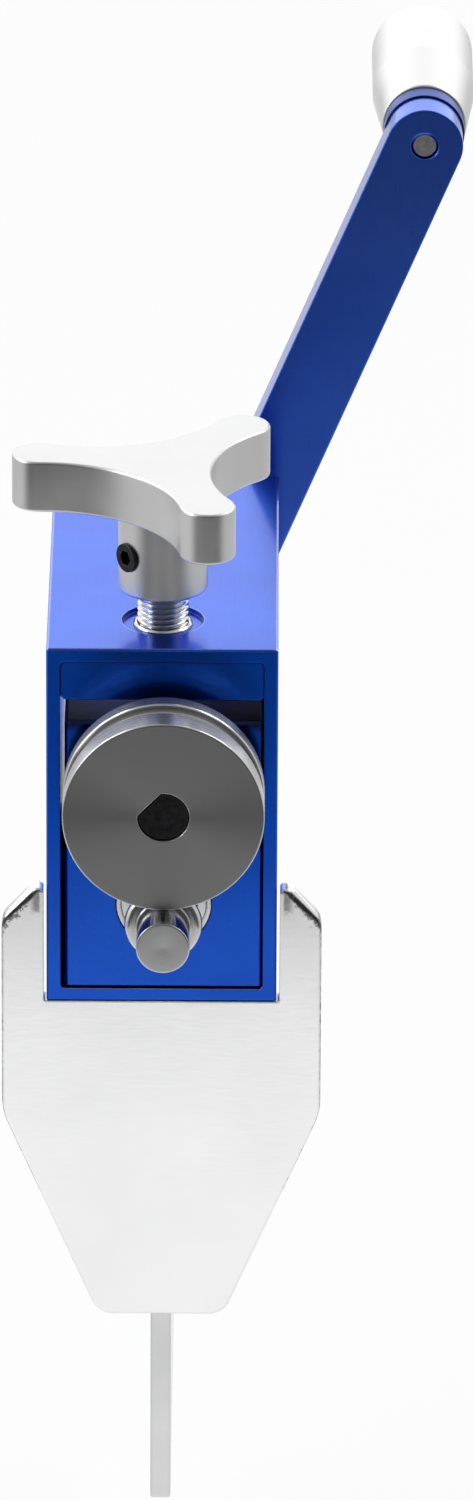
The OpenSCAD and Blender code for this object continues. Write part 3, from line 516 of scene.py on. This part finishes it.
roller_low, roller_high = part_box("upper_roller")
roller_r = (roller_high.x - roller_low.x) / 2
rim, front_lip, rear_lip, mouth = 0.0004, 0.0005, 0.0008, 0.0001
bore_r, bore_flat, bore_angle = 0.00562, 0.004276, math.radians(136)
groove_r, bead_r, bead_room = 0.0021, 0.00845, 0.00105
floor_round = groove_r * 0.999
roller_grub_low, roller_grub_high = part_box("roller_set_screw")
groove_y = (roller_grub_low.y + roller_grub_high.y) / 2
groove_front, groove_back = groove_y - groove_r, groove_y + groove_r
floor_r = upper_axis.z - lower_axis.z - bead_r - bead_room
outer_line, _ = eased(
    [(bore_r + mouth, roller_low.y), (roller_r, roller_low.y), (roller_r, groove_front),
     (floor_r, groove_front), (floor_r, groove_back), (roller_r, groove_back),
     (roller_r, roller_high.y), (bore_r + mouth, roller_high.y)],
    [0, rim, front_lip, floor_round, floor_round, rear_lip, rim, 0], steps=9, closed=False)
roller_columns = 160
bore_angles = full_turn(roller_columns)
d_r = d_radius(bore_angles, bore_r, bore_flat, bore_angle)
roller_rings = np.concatenate([
    stacked(d_r + mouth, bore_angles, [roller_low.y]),
    turned(outer_line[1:-1], roller_columns),
    stacked(d_r + mouth, bore_angles, [roller_high.y]),
    stacked(d_r, bore_angles, [roller_high.y - mouth, roller_low.y + mouth])])
roller = skin("grooved_roller", along_y(roller_rings, upper_axis), loop=True)
seat = 0.00002
roller_grub_r = (roller_grub_high.y - roller_grub_low.y) / 2 + seat
roller_grub_out = Vector((math.cos(bore_angle), 0, math.sin(bore_angle)))
roller_grub_turn = np.array(roller_grub_out.to_track_quat("Z", "Y").to_matrix())
roller_grub_line = [(roller_grub_r, bore_flat / 2), (roller_grub_r, roller_r)]
roller_grub_hole = turned(roller_grub_line, count=40) @ roller_grub_turn.T
roller_middle = np.array([upper_axis.x, groove_y, upper_axis.z])
drill(roller, skin("roller_grub_hole", roller_grub_hole + roller_middle))
roller_steel = turned_steel("roller_steel", upper_axis, (0.72, 0.72, 0.73, 1), (0.80, 0.80, 0.80, 1),
                            glossiest=0.24, dullest=0.30, pitch=0.00016, depth=0.0000015, anisotropy=0.85,
                            face_shade=0.41)
fit(roller, "roller", roller_steel, "polished_steel", "upper_roller")

# Mandrel shaft: one turned and hardened steel piece with a plain nose, a round bead ring and a neck.
# It runs through the lower block in its bearings and carries the crank on a flat at the back.
mandrel_low, mandrel_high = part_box("mandrel_shaft")
nose_r, neck_r, shaft_r, stub_r = 0.0058, 0.0071, 0.006, 0.005
stub_flat = stub_r * 0.8
ring_half = 0.0016
ring_round = ring_half * 0.98
ring_front, ring_back = groove_y - ring_half, groove_y + ring_half
block_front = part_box("lower_block")[0].y
arm_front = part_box("crank_arm")[0].y
dot_r, step_edge = 0.0007, 0.0003
mandrel_line, _ = eased(
    [(0, mandrel_low.y + dot_r / 2), (dot_r, mandrel_low.y), (nose_r, mandrel_low.y), (nose_r, ring_front),
     (bead_r, ring_front), (bead_r, ring_back), (neck_r, ring_back), (neck_r, block_front),
     (shaft_r, block_front), (shaft_r, arm_front), (stub_flat, arm_front), (stub_flat, mandrel_high.y),
     (0, mandrel_high.y)],
    [0, 0, step_edge, step_edge, ring_round, ring_round, step_edge, 0, 0, step_edge, 0, step_edge, 0],
    steps=9, closed=False)
mandrel = skin("stepped_mandrel", along_y(turned(mandrel_line, count=96), lower_axis))
mandrel_steel = turned_steel("mandrel_steel", lower_axis, (0.62, 0.62, 0.63, 1), (0.72, 0.72, 0.72, 1),
                             glossiest=0.08, dullest=0.14, pitch=0.00018, depth=0.0000015, anisotropy=0.5,
                             face_shade=0.8)
fit(mandrel, "crank", mandrel_steel, "polished_steel", "mandrel_shaft")


# Bearing shields: thin rings pressed from sheet steel, which close the outward side of each bearing.
# They are snapped into the outer rings and stay clear of the inner ones.
def merged(name, pieces):
    """One mesh made of several separate pieces, which are deleted."""
    mesh = bpy.data.meshes.new(name)
    joined = bmesh.new()
    for piece in pieces:
        joined.from_mesh(piece.data)
        bpy.data.objects.remove(piece)
    joined.to_mesh(mesh)
    joined.free()
    made = bpy.data.objects.new(name, mesh)
    bpy.context.scene.collection.objects.link(made)
    return made


def shield_ring(name, axis, front):
    """A flat ring between the two rings of a bearing, from its front face."""
    inner, outer, thick = 0.0074, 0.00915, 0.0003
    line = [(inner, front), (outer, front), (outer, front + thick), (inner, front + thick)]
    return skin(name, along_y(turned(line, count=72), axis), loop=True)


shield_sink, shield_back = 0.0002, 0.0005
for level, body in (("lower", "frame"), ("upper", "slide")):
    ring_low, ring_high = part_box(f"{level}_bearing_outer_rings")
    shields = merged(f"{level}_bearing_shields", [
        shield_ring("front_shield", axes[level], ring_low.y + shield_sink),
        shield_ring("rear_shield", axes[level], ring_high.y - shield_back)])
    fit(shields, body, bearing_steel[level], "bearing_steel")


# Adjusting screw: bright plated steel with a fine rolled thread from the block up to the knob.
# Its pilot turns in the sliding block and its plain shank is clamped in the knob's hub.
def threaded(low, high, root, crest, pitch, count, steps):
    """Rings of a right-hand thread: each ring climbs one pitch a turn, and the radius follows a rounded wave
    across the pitch, which dies out half a pitch from both ends."""
    steepness, root_cut = 1.25, 0.12
    angle = full_turn(count)
    rows = int(round((high - low) / pitch + 1) * steps)
    across = (np.arange(rows + 1) / steps - 1)[:, None]
    height = low + pitch * (across + angle / (2 * np.pi))
    wave = np.clip(steepness * np.abs(2 * (across % 1) - 1) - root_cut, 0, 1)
    ends = np.clip(np.minimum(height - low, high - height) / (0.5 * pitch), 0, 1)
    radius = root + (crest - root) * wave * ends
    return np.stack([radius * np.cos(angle), radius * np.sin(angle), np.clip(height, low, high)], axis=2)


screw_low, screw_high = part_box("adjusting_screw")
screw_x, screw_y, _ = joints["knob_turn"]["pos_m"]
screw_place = np.array([screw_x, screw_y, 0])
block_room = 0.00005
thread_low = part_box("upper_block")[1].z + block_room
hub_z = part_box("knob")[0].z
pilot_r, crest_r, root_r, shank_r, thread_pitch = 0.004, 0.00555, 0.00478, 0.0045, 0.00127
pilot_bevel, pin_neck_r, pin_room = 0.0003, 0.0029, 0.0001
screw_columns, thread_steps = 72, 10
pin_low, pin_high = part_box("screw_retaining_pins")
pin_neck_low, pin_neck_high = pin_low.z - pin_room, pin_high.z + pin_room
pilot_line = [(pilot_r - pilot_bevel, screw_low.z), (pilot_r, screw_low.z + pilot_bevel),
              (pilot_r, pin_neck_low), (pin_neck_r, pin_neck_low), (pin_neck_r, pin_neck_high),
              (pilot_r, pin_neck_high), (pilot_r, thread_low)]
screw_rings = np.concatenate([
    turned(pilot_line, screw_columns),
    threaded(thread_low, hub_z, root_r, crest_r, thread_pitch, screw_columns, thread_steps),
    turned([(shank_r, hub_z), (shank_r, screw_high.z)], screw_columns)])
screw = skin("threaded_screw", screw_rings + screw_place)


def bright_plate(name, dull, light):
    """Bright zinc on steel: two close tones in small patches and bright arrises."""
    patch_scale, patch_depth, arris_r, arris_white = 900, 0.000003, 0.0002, (0.9, 0.9, 0.9, 1)
    made, tree, shader = start_finish(name, Metallic=1.0)
    patches = noise(tree, object_place(tree), patch_scale, detail=3)
    rounded = rounded_normal(tree, arris_r)
    tone = mottled(tree, patches, dull, light)
    wire(tree, shader, Base_Color=blend(tree, arris_mask(tree, rounded), tone, arris_white),
         Roughness=remap(tree, patches, 0.14, 0.26), Normal=bump(tree, patches, patch_depth, rounded))
    return made


zinc = bright_plate("bright_plate", (0.62, 0.63, 0.65, 1), (0.74, 0.74, 0.74, 1))
fit(screw, "screw", zinc, "screw_steel", "adjusting_screw")
dress(zinc, "screw_collar", "crank_end_washer", "bracket_washers")


# Knob: cast aluminium with three lobes over a round hub, machined and blasted to a pale satin.
# A black set screw in the side of the hub clamps it on the screw's shank.
def slab(points, normals, low, high, edge, steps=5):
    """Rings of a flat plate over an outline, from its underside to its top: quarter rounds at both edges move
    the outline in along its normals by edge * (1 - cos) while the height changes by edge * sin. The edge is
    one radius, or one for each point of the outline."""
    radius = np.broadcast_to(edge, len(points))
    quarter = np.linspace(0, np.pi / 2, steps)[:, None]
    inset = radius * (1 - np.concatenate([np.sin(quarter), np.cos(quarter)]))
    height = np.concatenate([low + radius * (1 - np.cos(quarter)), high - radius * (1 - np.sin(quarter))])
    return np.concatenate([points - inset[..., None] * normals, height[..., None]], axis=2)


def lobed_outline(reach, tip_r, waist_r, turn, steps):
    """Three tip arcs about centres on a circle, joined by hollow arcs that touch both neighbouring tips and
    come in to the waist. Returns the points and their outward normals, counter-clockwise."""
    centre = reach - tip_r
    hollow_r = (centre**2 + waist_r**2 - centre * waist_r - tip_r**2) / (centre + 2 * tip_r - 2 * waist_r)
    far = waist_r + hollow_r
    hollow_at = far * np.array([math.cos(math.pi / 3), math.sin(math.pi / 3)])
    swing = math.atan2(hollow_at[1], hollow_at[0] - centre)
    tip_angle = np.linspace(-swing, swing, steps)
    hollow_angle = np.linspace(swing + math.pi, 5 * math.pi / 3 - swing, steps)[1:-1]
    tip_spoke = np.stack([np.cos(tip_angle), np.sin(tip_angle)], axis=1)
    hollow_spoke = np.stack([np.cos(hollow_angle), np.sin(hollow_angle)], axis=1)
    third = np.concatenate([np.array([centre, 0]) + tip_r * tip_spoke, hollow_at + hollow_r * hollow_spoke])
    third_normals = np.concatenate([tip_spoke, -hollow_spoke])
    angles = turn + np.arange(3) * 2 * math.pi / 3
    first_row = np.stack([np.cos(angles), -np.sin(angles)], axis=1)
    second_row = np.stack([np.sin(angles), np.cos(angles)], axis=1)
    turns = np.stack([first_row, second_row], axis=1)
    return (np.einsum("kij,nj->kni", turns, third).reshape(-1, 2),
            np.einsum("kij,nj->kni", turns, third_normals).reshape(-1, 2))


knob_low, knob_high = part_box("knob")
hub_r, hub_bevel, hub_fillet = 0.0097, 0.0006, 0.0002
lobe_t, lobe_edge = 0.0116, 0.0006
lobe_reach, tip_r, waist_r, lobe_turn = 0.033, 0.006, 0.0109, math.radians(171)
lobe_z = knob_high.z - lobe_t
lobe_points, lobe_normals = lobed_outline(lobe_reach, tip_r, waist_r, lobe_turn, steps=40)
lobes = slab(lobe_points, lobe_normals, lobe_z, knob_high.z, lobe_edge)
knob_bore_r = shank_r + seat
bore_room = 0.0003
bore_top = screw_high.z + bore_room
hub_line, _ = eased(
    [(knob_bore_r, knob_low.z), (hub_r, knob_low.z), (hub_r, lobe_z), (hub_r + 2 * hub_fillet, lobe_z)],
    [0, hub_bevel, hub_fillet, 0], steps=6, closed=False)
lobe_angle = np.unwrap(np.arctan2(lobe_points[:, 1], lobe_points[:, 0]))
hub_rings = swept(np.vstack([(knob_bore_r, bore_top), hub_line[:-1]]), lobe_angle)
knob = skin("lobed_knob", np.concatenate([hub_rings, lobes]) + screw_place)
grub_low, grub_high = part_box("knob_set_screw")
grub_r = (grub_high.z - grub_low.z) / 2 + seat
grub_mid = (grub_low + grub_high) / 2
grub_out = (grub_mid - Vector((screw_x, screw_y, grub_mid.z))).normalized()
grub_turn = np.array(grub_out.to_track_quat("Z", "Y").to_matrix())
grub_hole = turned([(grub_r, shank_r), (grub_r, 2 * hub_r)], count=48) @ grub_turn.T
drill(knob, skin("grub_hole", grub_hole + np.array([screw_x, screw_y, grub_mid.z])))


def blasted(name, dark, light, arris, glossiest, dullest):
    """Bead blasted aluminium: an even fine grain, faint clouds and brighter rubbed arrises."""
    grain_scale, grain_depth, cloud_scale, arris_r = 5200, 0.000008, 70, 0.0004
    made, tree, shader = start_finish(name, Metallic=1.0)
    grain = noise(tree, object_place(tree), grain_scale)
    clouds = noise(tree, object_place(tree), cloud_scale, detail=3)
    rounded = rounded_normal(tree, arris_r)
    tone = mottled(tree, clouds, dark, light)
    wire(tree, shader, Base_Color=blend(tree, arris_mask(tree, rounded), tone, arris),
         Roughness=remap(tree, clouds, glossiest, dullest), Normal=bump(tree, grain, grain_depth, rounded))
    return made


knob_satin = blasted("knob_satin", (0.70, 0.70, 0.705, 1), (0.76, 0.76, 0.76, 1), (0.90, 0.90, 0.90, 1),
                     glossiest=0.30, dullest=0.38)
fit(knob, "screw", knob_satin, "satin_aluminium", "knob")

# Crank arm: a flat aluminium bar with round ends, sawn and milled, eased at its edges and anodised blue.
# The mandrel's flat and end screw hold its lower end. The grip's bolt, bright plated steel, is threaded into
# its upper end and shows there.
arm_low, arm_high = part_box("crank_arm")
grip_axis = Vector(joints["grip_spin"]["pos_m"])
arm_r, arm_edge = 0.0085, 0.0003
arm_line = np.array([grip_axis.x - lower_axis.x, grip_axis.z - lower_axis.z])
arm_c = np.linalg.norm(arm_line)
arm_up = arm_line / arm_c
arm_side = np.array([arm_up[1], -arm_up[0]])
half_steps = 32
half_turn = np.linspace(0, math.pi, half_steps)
top_spoke = np.stack([np.cos(half_turn), np.sin(half_turn)], axis=1)
arm_normals = np.concatenate([top_spoke, -top_spoke])
arm_points = np.concatenate([arm_r * top_spoke + [0, arm_c], -arm_r * top_spoke])


def on_arm(rings):
    """Local across, along and depth of the arm as a place in the frame."""
    flat = rings[..., 0:1] * arm_side + rings[..., 1:2] * arm_up
    return np.stack([flat[..., 0] + lower_axis.x, rings[..., 2], flat[..., 1] + lower_axis.z], axis=-1)


arm = skin("crank_arm_bar", on_arm(slab(arm_points, arm_normals, arm_low.y, arm_high.y, arm_edge)))
bolt_hole_r, bolt_bevel = 0.00302, 0.0002
past = 0.001
bolt_line = [(bolt_hole_r + bolt_bevel + past, arm_low.y - past), (bolt_hole_r, arm_low.y + bolt_bevel),
             (bolt_hole_r, arm_high.y + past)]
bolt_hole = on_arm(turned(bolt_line, count=48) + np.array([0, arm_c, 0]))
stub_angle = full_turn(count=64)
stub_d = d_radius(stub_angle, stub_r + seat, stub_flat + seat, 0)
stub_hole = on_arm(stacked(stub_d, stub_angle, (arm_low.y - past, arm_high.y + past)))
drill(arm, skin("bolt_hole", bolt_hole), skin("stub_hole", stub_hole))
arm_blue = anodised("arm_blue", (0.045, 0.15, 0.74, 1), (0.055, 0.17, 0.80, 1), (0.045, 0.14, 0.70, 1),
                    draw_scale=(2600, 3000, 120))
fit(arm, "crank", arm_blue, "blue_anodised", "crank_arm")
dress(bright_plate("bolt_plate", (0.80, 0.80, 0.80, 1), (0.90, 0.90, 0.90, 1)), "grip_bolt")

# Grip spacer: a short turned aluminium collar between the arm and the grip, anodised in a greyer blue. Its
# dark tone is partly its own colour and partly painted shade, where it sits under the grip.
# The grip's bolt clamps it on the arm, so it turns with the crank.
spacer_blue = anodised("spacer_blue", (0.025, 0.07, 0.32, 1), (0.035, 0.085, 0.37, 1), (0.02, 0.06, 0.30, 1),
                       draw_scale=(3000, 6000, 3000), gap=0.0001, coat=0.1)
dress(spacer_blue, "grip_spacer")

# Grip: turned aluminium, a cone from the neck to a fuller body with a rounded end, blasted to a pale satin.
# It turns on the shoulder of its bolt, whose head lies in a pocket in the grip's end.
grip_low, grip_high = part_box("grip")
grip_neck_r, grip_r, flare = 0.00935, 0.0113, 0.02
pocket_r, pocket_depth, shoulder_r = 0.00665, 0.008, 0.00405
pocket_y = grip_high.y - pocket_depth
neck_edge, flare_round, end_round, pocket_edge, bore_edge = 0.0005, 0.002, 0.001, 0.0005, 0.0003
grip_line, _ = eased(
    [(grip_neck_r, grip_low.y), (grip_r, grip_low.y + flare), (grip_r, grip_high.y), (pocket_r, grip_high.y),
     (pocket_r, pocket_y), (shoulder_r, pocket_y), (shoulder_r, grip_low.y)],
    [neck_edge, flare_round, end_round, pocket_edge, bore_edge, 0, bore_edge], steps=10, closed=True)
grip = skin("flared_grip", along_y(turned(grip_line, count=96), grip_axis), loop=True)
grip_satin = blasted("grip_satin", (0.80, 0.80, 0.805, 1), (0.84, 0.84, 0.84, 1), (0.88, 0.88, 0.88, 1),
                     glossiest=0.38, dullest=0.44)
fit(grip, "grip", grip_satin, "satin_aluminium", "grip")

# Bracket front plate: a shield cut from sheet steel, with two ears beside the housing whose shoulders are
# ground round. It is welded to the saddle and the fin behind it, and bright plated to a near-white satin.
# The saddle under the housing is of the same plated sheet.
plate_low, plate_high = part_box("bracket_front_plate")
plate_half = (plate_high.x - plate_low.x) / 2
ear_gap, side_drop = 0.00065, 0.0267
notch_half = (house_high.x - house_low.x) / 2 + ear_gap
ear_cut_w, ear_cut_h = 0.0064, 0.0072
ear_top = plate_half - ear_cut_w
ear_r = (ear_top - notch_half) * 0.8
shoulder_z = plate_high.z - ear_cut_h
foot_half, side_z = 0.0138, house_low.z - side_drop
foot_r, side_r, notch_r = 0.005, 0.015, 0.0005
half_corners = np.array([
    (foot_half, plate_low.z), (plate_half, side_z), (plate_half, shoulder_z), (ear_top, plate_high.z),
    (notch_half, plate_high.z), (notch_half, house_low.z)])
half_radii = np.array([foot_r, side_r, ear_cut_w, ear_r, ear_r / 2, notch_r])
plate_corners = np.concatenate([half_corners, half_corners[::-1] * [-1, 1]])
plate_radii = np.concatenate([half_radii, half_radii[::-1]])
plate_points, plate_normals = eased(plate_corners, plate_radii, steps=12, closed=True)
side_edge, shoulder_edge, notch_edge = 0.0006, 0.0018, 0.0001
edge_fade_from, edge_fade, near = 0.001, 0.002, 0.0001
plate_out = np.abs(plate_points[:, 0])
shoulder_share = np.clip((plate_points[:, 1] - shoulder_z) / ear_cut_h * 2, 0, 1)
shoulder_share *= np.clip((plate_out - notch_half - edge_fade_from) / edge_fade, 0, 1)
in_notch = (plate_out < notch_half + near) & (plate_points[:, 1] > house_low.z - near)
plate_edge = np.where(in_notch, notch_edge, side_edge + (shoulder_edge - side_edge) * shoulder_share)


def facing_front(rings):
    """Local across, up and depth as a place in the frame."""
    return np.stack([rings[..., 0], rings[..., 2], rings[..., 1]], axis=-1)


plate_rings = slab(plate_points, plate_normals, plate_low.y, plate_high.y, plate_edge, steps=9)
shield = skin("shield_plate", facing_front(plate_rings))


def plated_steel(name, dull, light, arris, ground_and_shaded_parts=None):
    """Sheet steel with a bright satin plating: soft clouds, faint rolling lines and dark sheared arrises. A
    function of the tree can give where the arrises stay dark, and the share and tone of dark parts, which are
    partly painted shade."""
    roll_scale, roll_depth, cloud_scale, arris_r = (260, 4200, 4200), 0.0000006, 38, 0.0006
    made, tree, shader = start_finish(name, Metallic=1.0)
    lines = noise(tree, object_place(tree, roll_scale), 1.0, detail=4, roughness=0.6)
    clouds = noise(tree, object_place(tree), cloud_scale, detail=3)
    rounded = rounded_normal(tree, arris_r)
    edge = arris_mask(tree, rounded)
    tone = mottled(tree, clouds, dull, light)
    if ground_and_shaded_parts is None:
        tone = blend(tree, edge, tone, arris)
    else:
        arris_share, ground_and_shade_share, ground_and_shade_tone = ground_and_shaded_parts(tree)
        tone = blend(tree, maths(tree, "MULTIPLY", edge, arris_share), tone, arris)
        tone = blend(tree, ground_and_shade_share, tone, ground_and_shade_tone)
    wire(tree, shader, Base_Color=tone, Roughness=remap(tree, lines, 0.17, 0.22),
         Normal=bump(tree, lines, roll_depth, rounded))
    return made


def ground_and_shaded_ears(tree):
    """Where the front plate is dark, with ragged borders: on its cut sides, on its face beyond a line along
    each ear's shoulder, and in a smear below each ear's inner corner, but not on edges that look up or in the
    notch.
    This dark is partly a ragged ground texture and partly painted reflection and shade; edges that look up
    are left out, as they catch the light. Its arrises are dark only low down. Returns the shares of both and
    the dark tone."""
    arris_dark_to, arris_bright_from = 0.02, 0.06
    rag_scale, rag_reach, rag_border = 900, 0.006, 0.0008
    ground_w, smear_h, smear_reach, smear_share = 0.0022, 0.0055, 0.004, 0.75
    smear_starts, smear_full, smear_in, smear_out = 0.0012, 0.0028, 0.0012, 0.0026
    bright_w, bright_fade, up_starts, up_full = 0.0006, 0.0005, 0.40, 0.52
    all_cut, no_cut = 1.0, 1.2
    level = axis_of(tree, object_place(tree), "Z")
    off_middle = maths(tree, "ABSOLUTE", axis_of(tree, object_place(tree), "X"))
    normal = true_normal(tree)
    rags = noise(tree, object_place(tree), rag_scale, detail=4, roughness=0.7)
    across = maths(tree, "ABSOLUTE", axis_of(tree, normal, "Y"))
    cut_side = remap(tree, maths(tree, "ADD", across, rags), 1, 0, all_cut, no_cut)
    shoulder_l = math.hypot(ear_cut_w, ear_cut_h)
    out_part, up_part = ear_cut_h / shoulder_l, ear_cut_w / shoulder_l
    ground_from = plate_half * out_part + shoulder_z * up_part - ground_w + rag_reach / 2
    outward = maths(tree, "MULTIPLY_ADD", level, up_part, maths(tree, "MULTIPLY", off_middle, out_part))
    outward = maths(tree, "MULTIPLY_ADD", rags, rag_reach, outward)
    ground = remap(tree, outward, 0, 1, ground_from, ground_from + rag_border)
    bright_half = notch_half + bright_w
    smear_z = plate_high.z - smear_h
    smear = remap(tree, maths(tree, "MULTIPLY_ADD", rags, smear_reach, level), 0, smear_share,
                  smear_z + smear_starts, smear_z + smear_full)
    inner = remap(tree, off_middle, 1, 0, bright_half + smear_in, bright_half + smear_out)
    rough = maths(tree, "MAXIMUM", ground, maths(tree, "MULTIPLY", smear, inner))
    rough = maths(tree, "MAXIMUM", cut_side, rough)
    beside_notch = remap(tree, off_middle, 0, 1, bright_half, bright_half + bright_fade)
    # Painted shade: edges that look up are left out of the dark, as they catch the light.
    not_up = remap(tree, axis_of(tree, normal, "Z"), 1, 0, up_starts, up_full)
    rough = maths(tree, "MULTIPLY", rough, maths(tree, "MULTIPLY", beside_notch, not_up))
    ground_and_shade_tone = mottled(tree, rags, (0.05, 0.05, 0.052, 1), (0.30, 0.30, 0.30, 1))
    return remap(tree, level, 1, 0, arris_dark_to, arris_bright_from), rough, ground_and_shade_tone


plate_tones = (0.91, 0.91, 0.915, 1), (0.95, 0.95, 0.95, 1), (0.45, 0.45, 0.455, 1)
shield_steel = plated_steel("shield_steel", *plate_tones, ground_and_shaded_parts=ground_and_shaded_ears)
fit(shield, "frame", shield_steel, "bracket_steel", "bracket_front_plate")
dress(plated_steel("saddle_steel", *plate_tones), "bracket_saddle")

# Vise fin: a rectangle of the same sheet steel on edge below the saddle, with round lower corners.
# It is welded to the saddle and the front plate; the vise's jaws grip it below a line scribed on both sides.
fin_low, fin_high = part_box("vise_fin")
fin_edge, fin_corner, fin_top_r = 0.0006, 0.003, 0.0008
fin_points, fin_normals = eased(
    [(fin_low.y, fin_low.z), (fin_high.y, fin_low.z), (fin_high.y, fin_high.z), (fin_low.y, fin_high.z)],
    [fin_corner, fin_corner, fin_top_r, fin_top_r], steps=10, closed=True)
fin_rings = slab(fin_points, fin_normals, fin_low.x, fin_high.x, fin_edge)
fin = skin("vise_tongue", np.stack([fin_rings[..., 2], fin_rings[..., 0], fin_rings[..., 1]], axis=-1))
jaw_line_w, jaw_line_t = 0.0004, 0.0002
line_front, line_back = fin_low.y - past, fin_high.y + past
line_ring = np.array([(line_front, -jaw_line_w), (line_back, -jaw_line_w), (line_back, 0), (line_front, 0)])
line_spans = {"left": (fin_low.x - past, fin_low.x + jaw_line_t),
              "right": (fin_high.x - jaw_line_t, fin_high.x + past)}
line_cuts = [skin(f"jaw_line_{side}", np.stack([np.column_stack([np.full(4, x), line_ring]) for x in span]))
             for side, span in line_spans.items()]
drill(fin, *line_cuts)
# Its tones are darker than the front plate's: painted shade, for the shadowed floor that the fin reflects.
fin_steel = plated_steel("fin_steel", (0.62, 0.62, 0.625, 1), (0.70, 0.70, 0.70, 1), (0.30, 0.30, 0.31, 1))
fit(fin, "frame", fin_steel, "bracket_steel", "vise_fin")


# Welds: fillet beads laid by hand where fin, saddle and front plate meet, plated over with the bracket.
# Each bead has the crescent ripples of its pools and tapers out at both ends.
def weld_bead(start, end, first_wall, second_wall):
    """Rings of a fillet bead along a line: a round section between two walls, whose size swells and falls
    once every ripple, later in the middle of the section than at its toes, and fades at the ends."""
    leg, ripple_pitch, ripple_steps, section_steps = 0.0029, 0.0016, 8, 13
    least, ripple_size, end_share = 0.86, 0.07, 0.02
    slow_size, slow_rate, quick_size, quick_rate = 0.05, 310, 0.03, 790
    toe_fill, crown_fill = 0.35, 0.25
    length = np.linalg.norm(end - start)
    along = np.linspace(0, 1, int(length / ripple_pitch) * ripple_steps)[:, None]
    swing = np.linspace(0, 1, section_steps)[None, :]
    bow = 4 * swing * (1 - swing)
    ripple = ripple_size * np.abs(np.sin(math.pi * (along * length / ripple_pitch - 0.5 * bow)))
    wander = slow_size * np.sin(along * length * slow_rate)
    wander = wander + quick_size * np.sin(along * length * quick_rate + 1)
    taper = np.clip(np.minimum(along, 1 - along) * length / leg, end_share, 1) ** 0.5
    size = leg * taper * (least + ripple + wander)
    lean = swing * math.pi / 2
    chord = 1 / (np.cos(lean) + np.sin(lean))
    radius = size * (chord + (1 - chord) * (toe_fill + crown_fill * bow))
    spine = start + along[..., None] * (end - start)
    first = (radius * np.cos(lean))[..., None] * first_wall
    second = (radius * np.sin(lean))[..., None] * second_wall
    return np.concatenate([spine, spine + first + second], axis=1)


saddle_low, saddle_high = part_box("bracket_saddle")
run_out, saddle_room = 0.006, 0.003
saddle_end = saddle_high.x - saddle_room
back, down = np.array([0, 1, 0]), np.array([0, 0, -1])
beads = []
for side in (-1, 1):
    across = np.array([side, 0, 0])
    fin_x = side * fin_high.x
    beads.append(weld_bead(np.array([fin_x, fin_low.y + run_out, saddle_low.z]),
                           np.array([fin_x, fin_high.y - run_out, saddle_low.z]), across, down))
    beads.append(weld_bead(np.array([fin_x, plate_high.y, run_out]),
                           np.array([fin_x, plate_high.y, saddle_low.z - run_out]), across, back))
    beads.append(weld_bead(np.array([fin_x + side * run_out, plate_high.y, saddle_low.z]),
                           np.array([side * saddle_end, plate_high.y, saddle_low.z]), back, down))
welds = merged("weld_beads", [skin(f"bead_{number}", rings) for number, rings in enumerate(beads)])


def weld_metal():
    """Plated weld metal: duller than the sheet, with small grains and a straw tint in places."""
    grain_scale, grain_depth, tint_scale = 2400, 0.00002, 180
    made, tree, shader = start_finish("weld_metal", Metallic=1.0)
    grains = noise(tree, object_place(tree), grain_scale, detail=4, roughness=0.6)
    tint = noise(tree, object_place(tree), tint_scale)
    wire(tree, shader, Base_Color=mottled(tree, tint, (0.66, 0.66, 0.66, 1), (0.72, 0.69, 0.63, 1)),
         Roughness=remap(tree, grains, 0.25, 0.42), Normal=bump(tree, grains, grain_depth))
    return made


fit(welds, "frame", weld_metal(), "weld_bead", "bracket_welds")
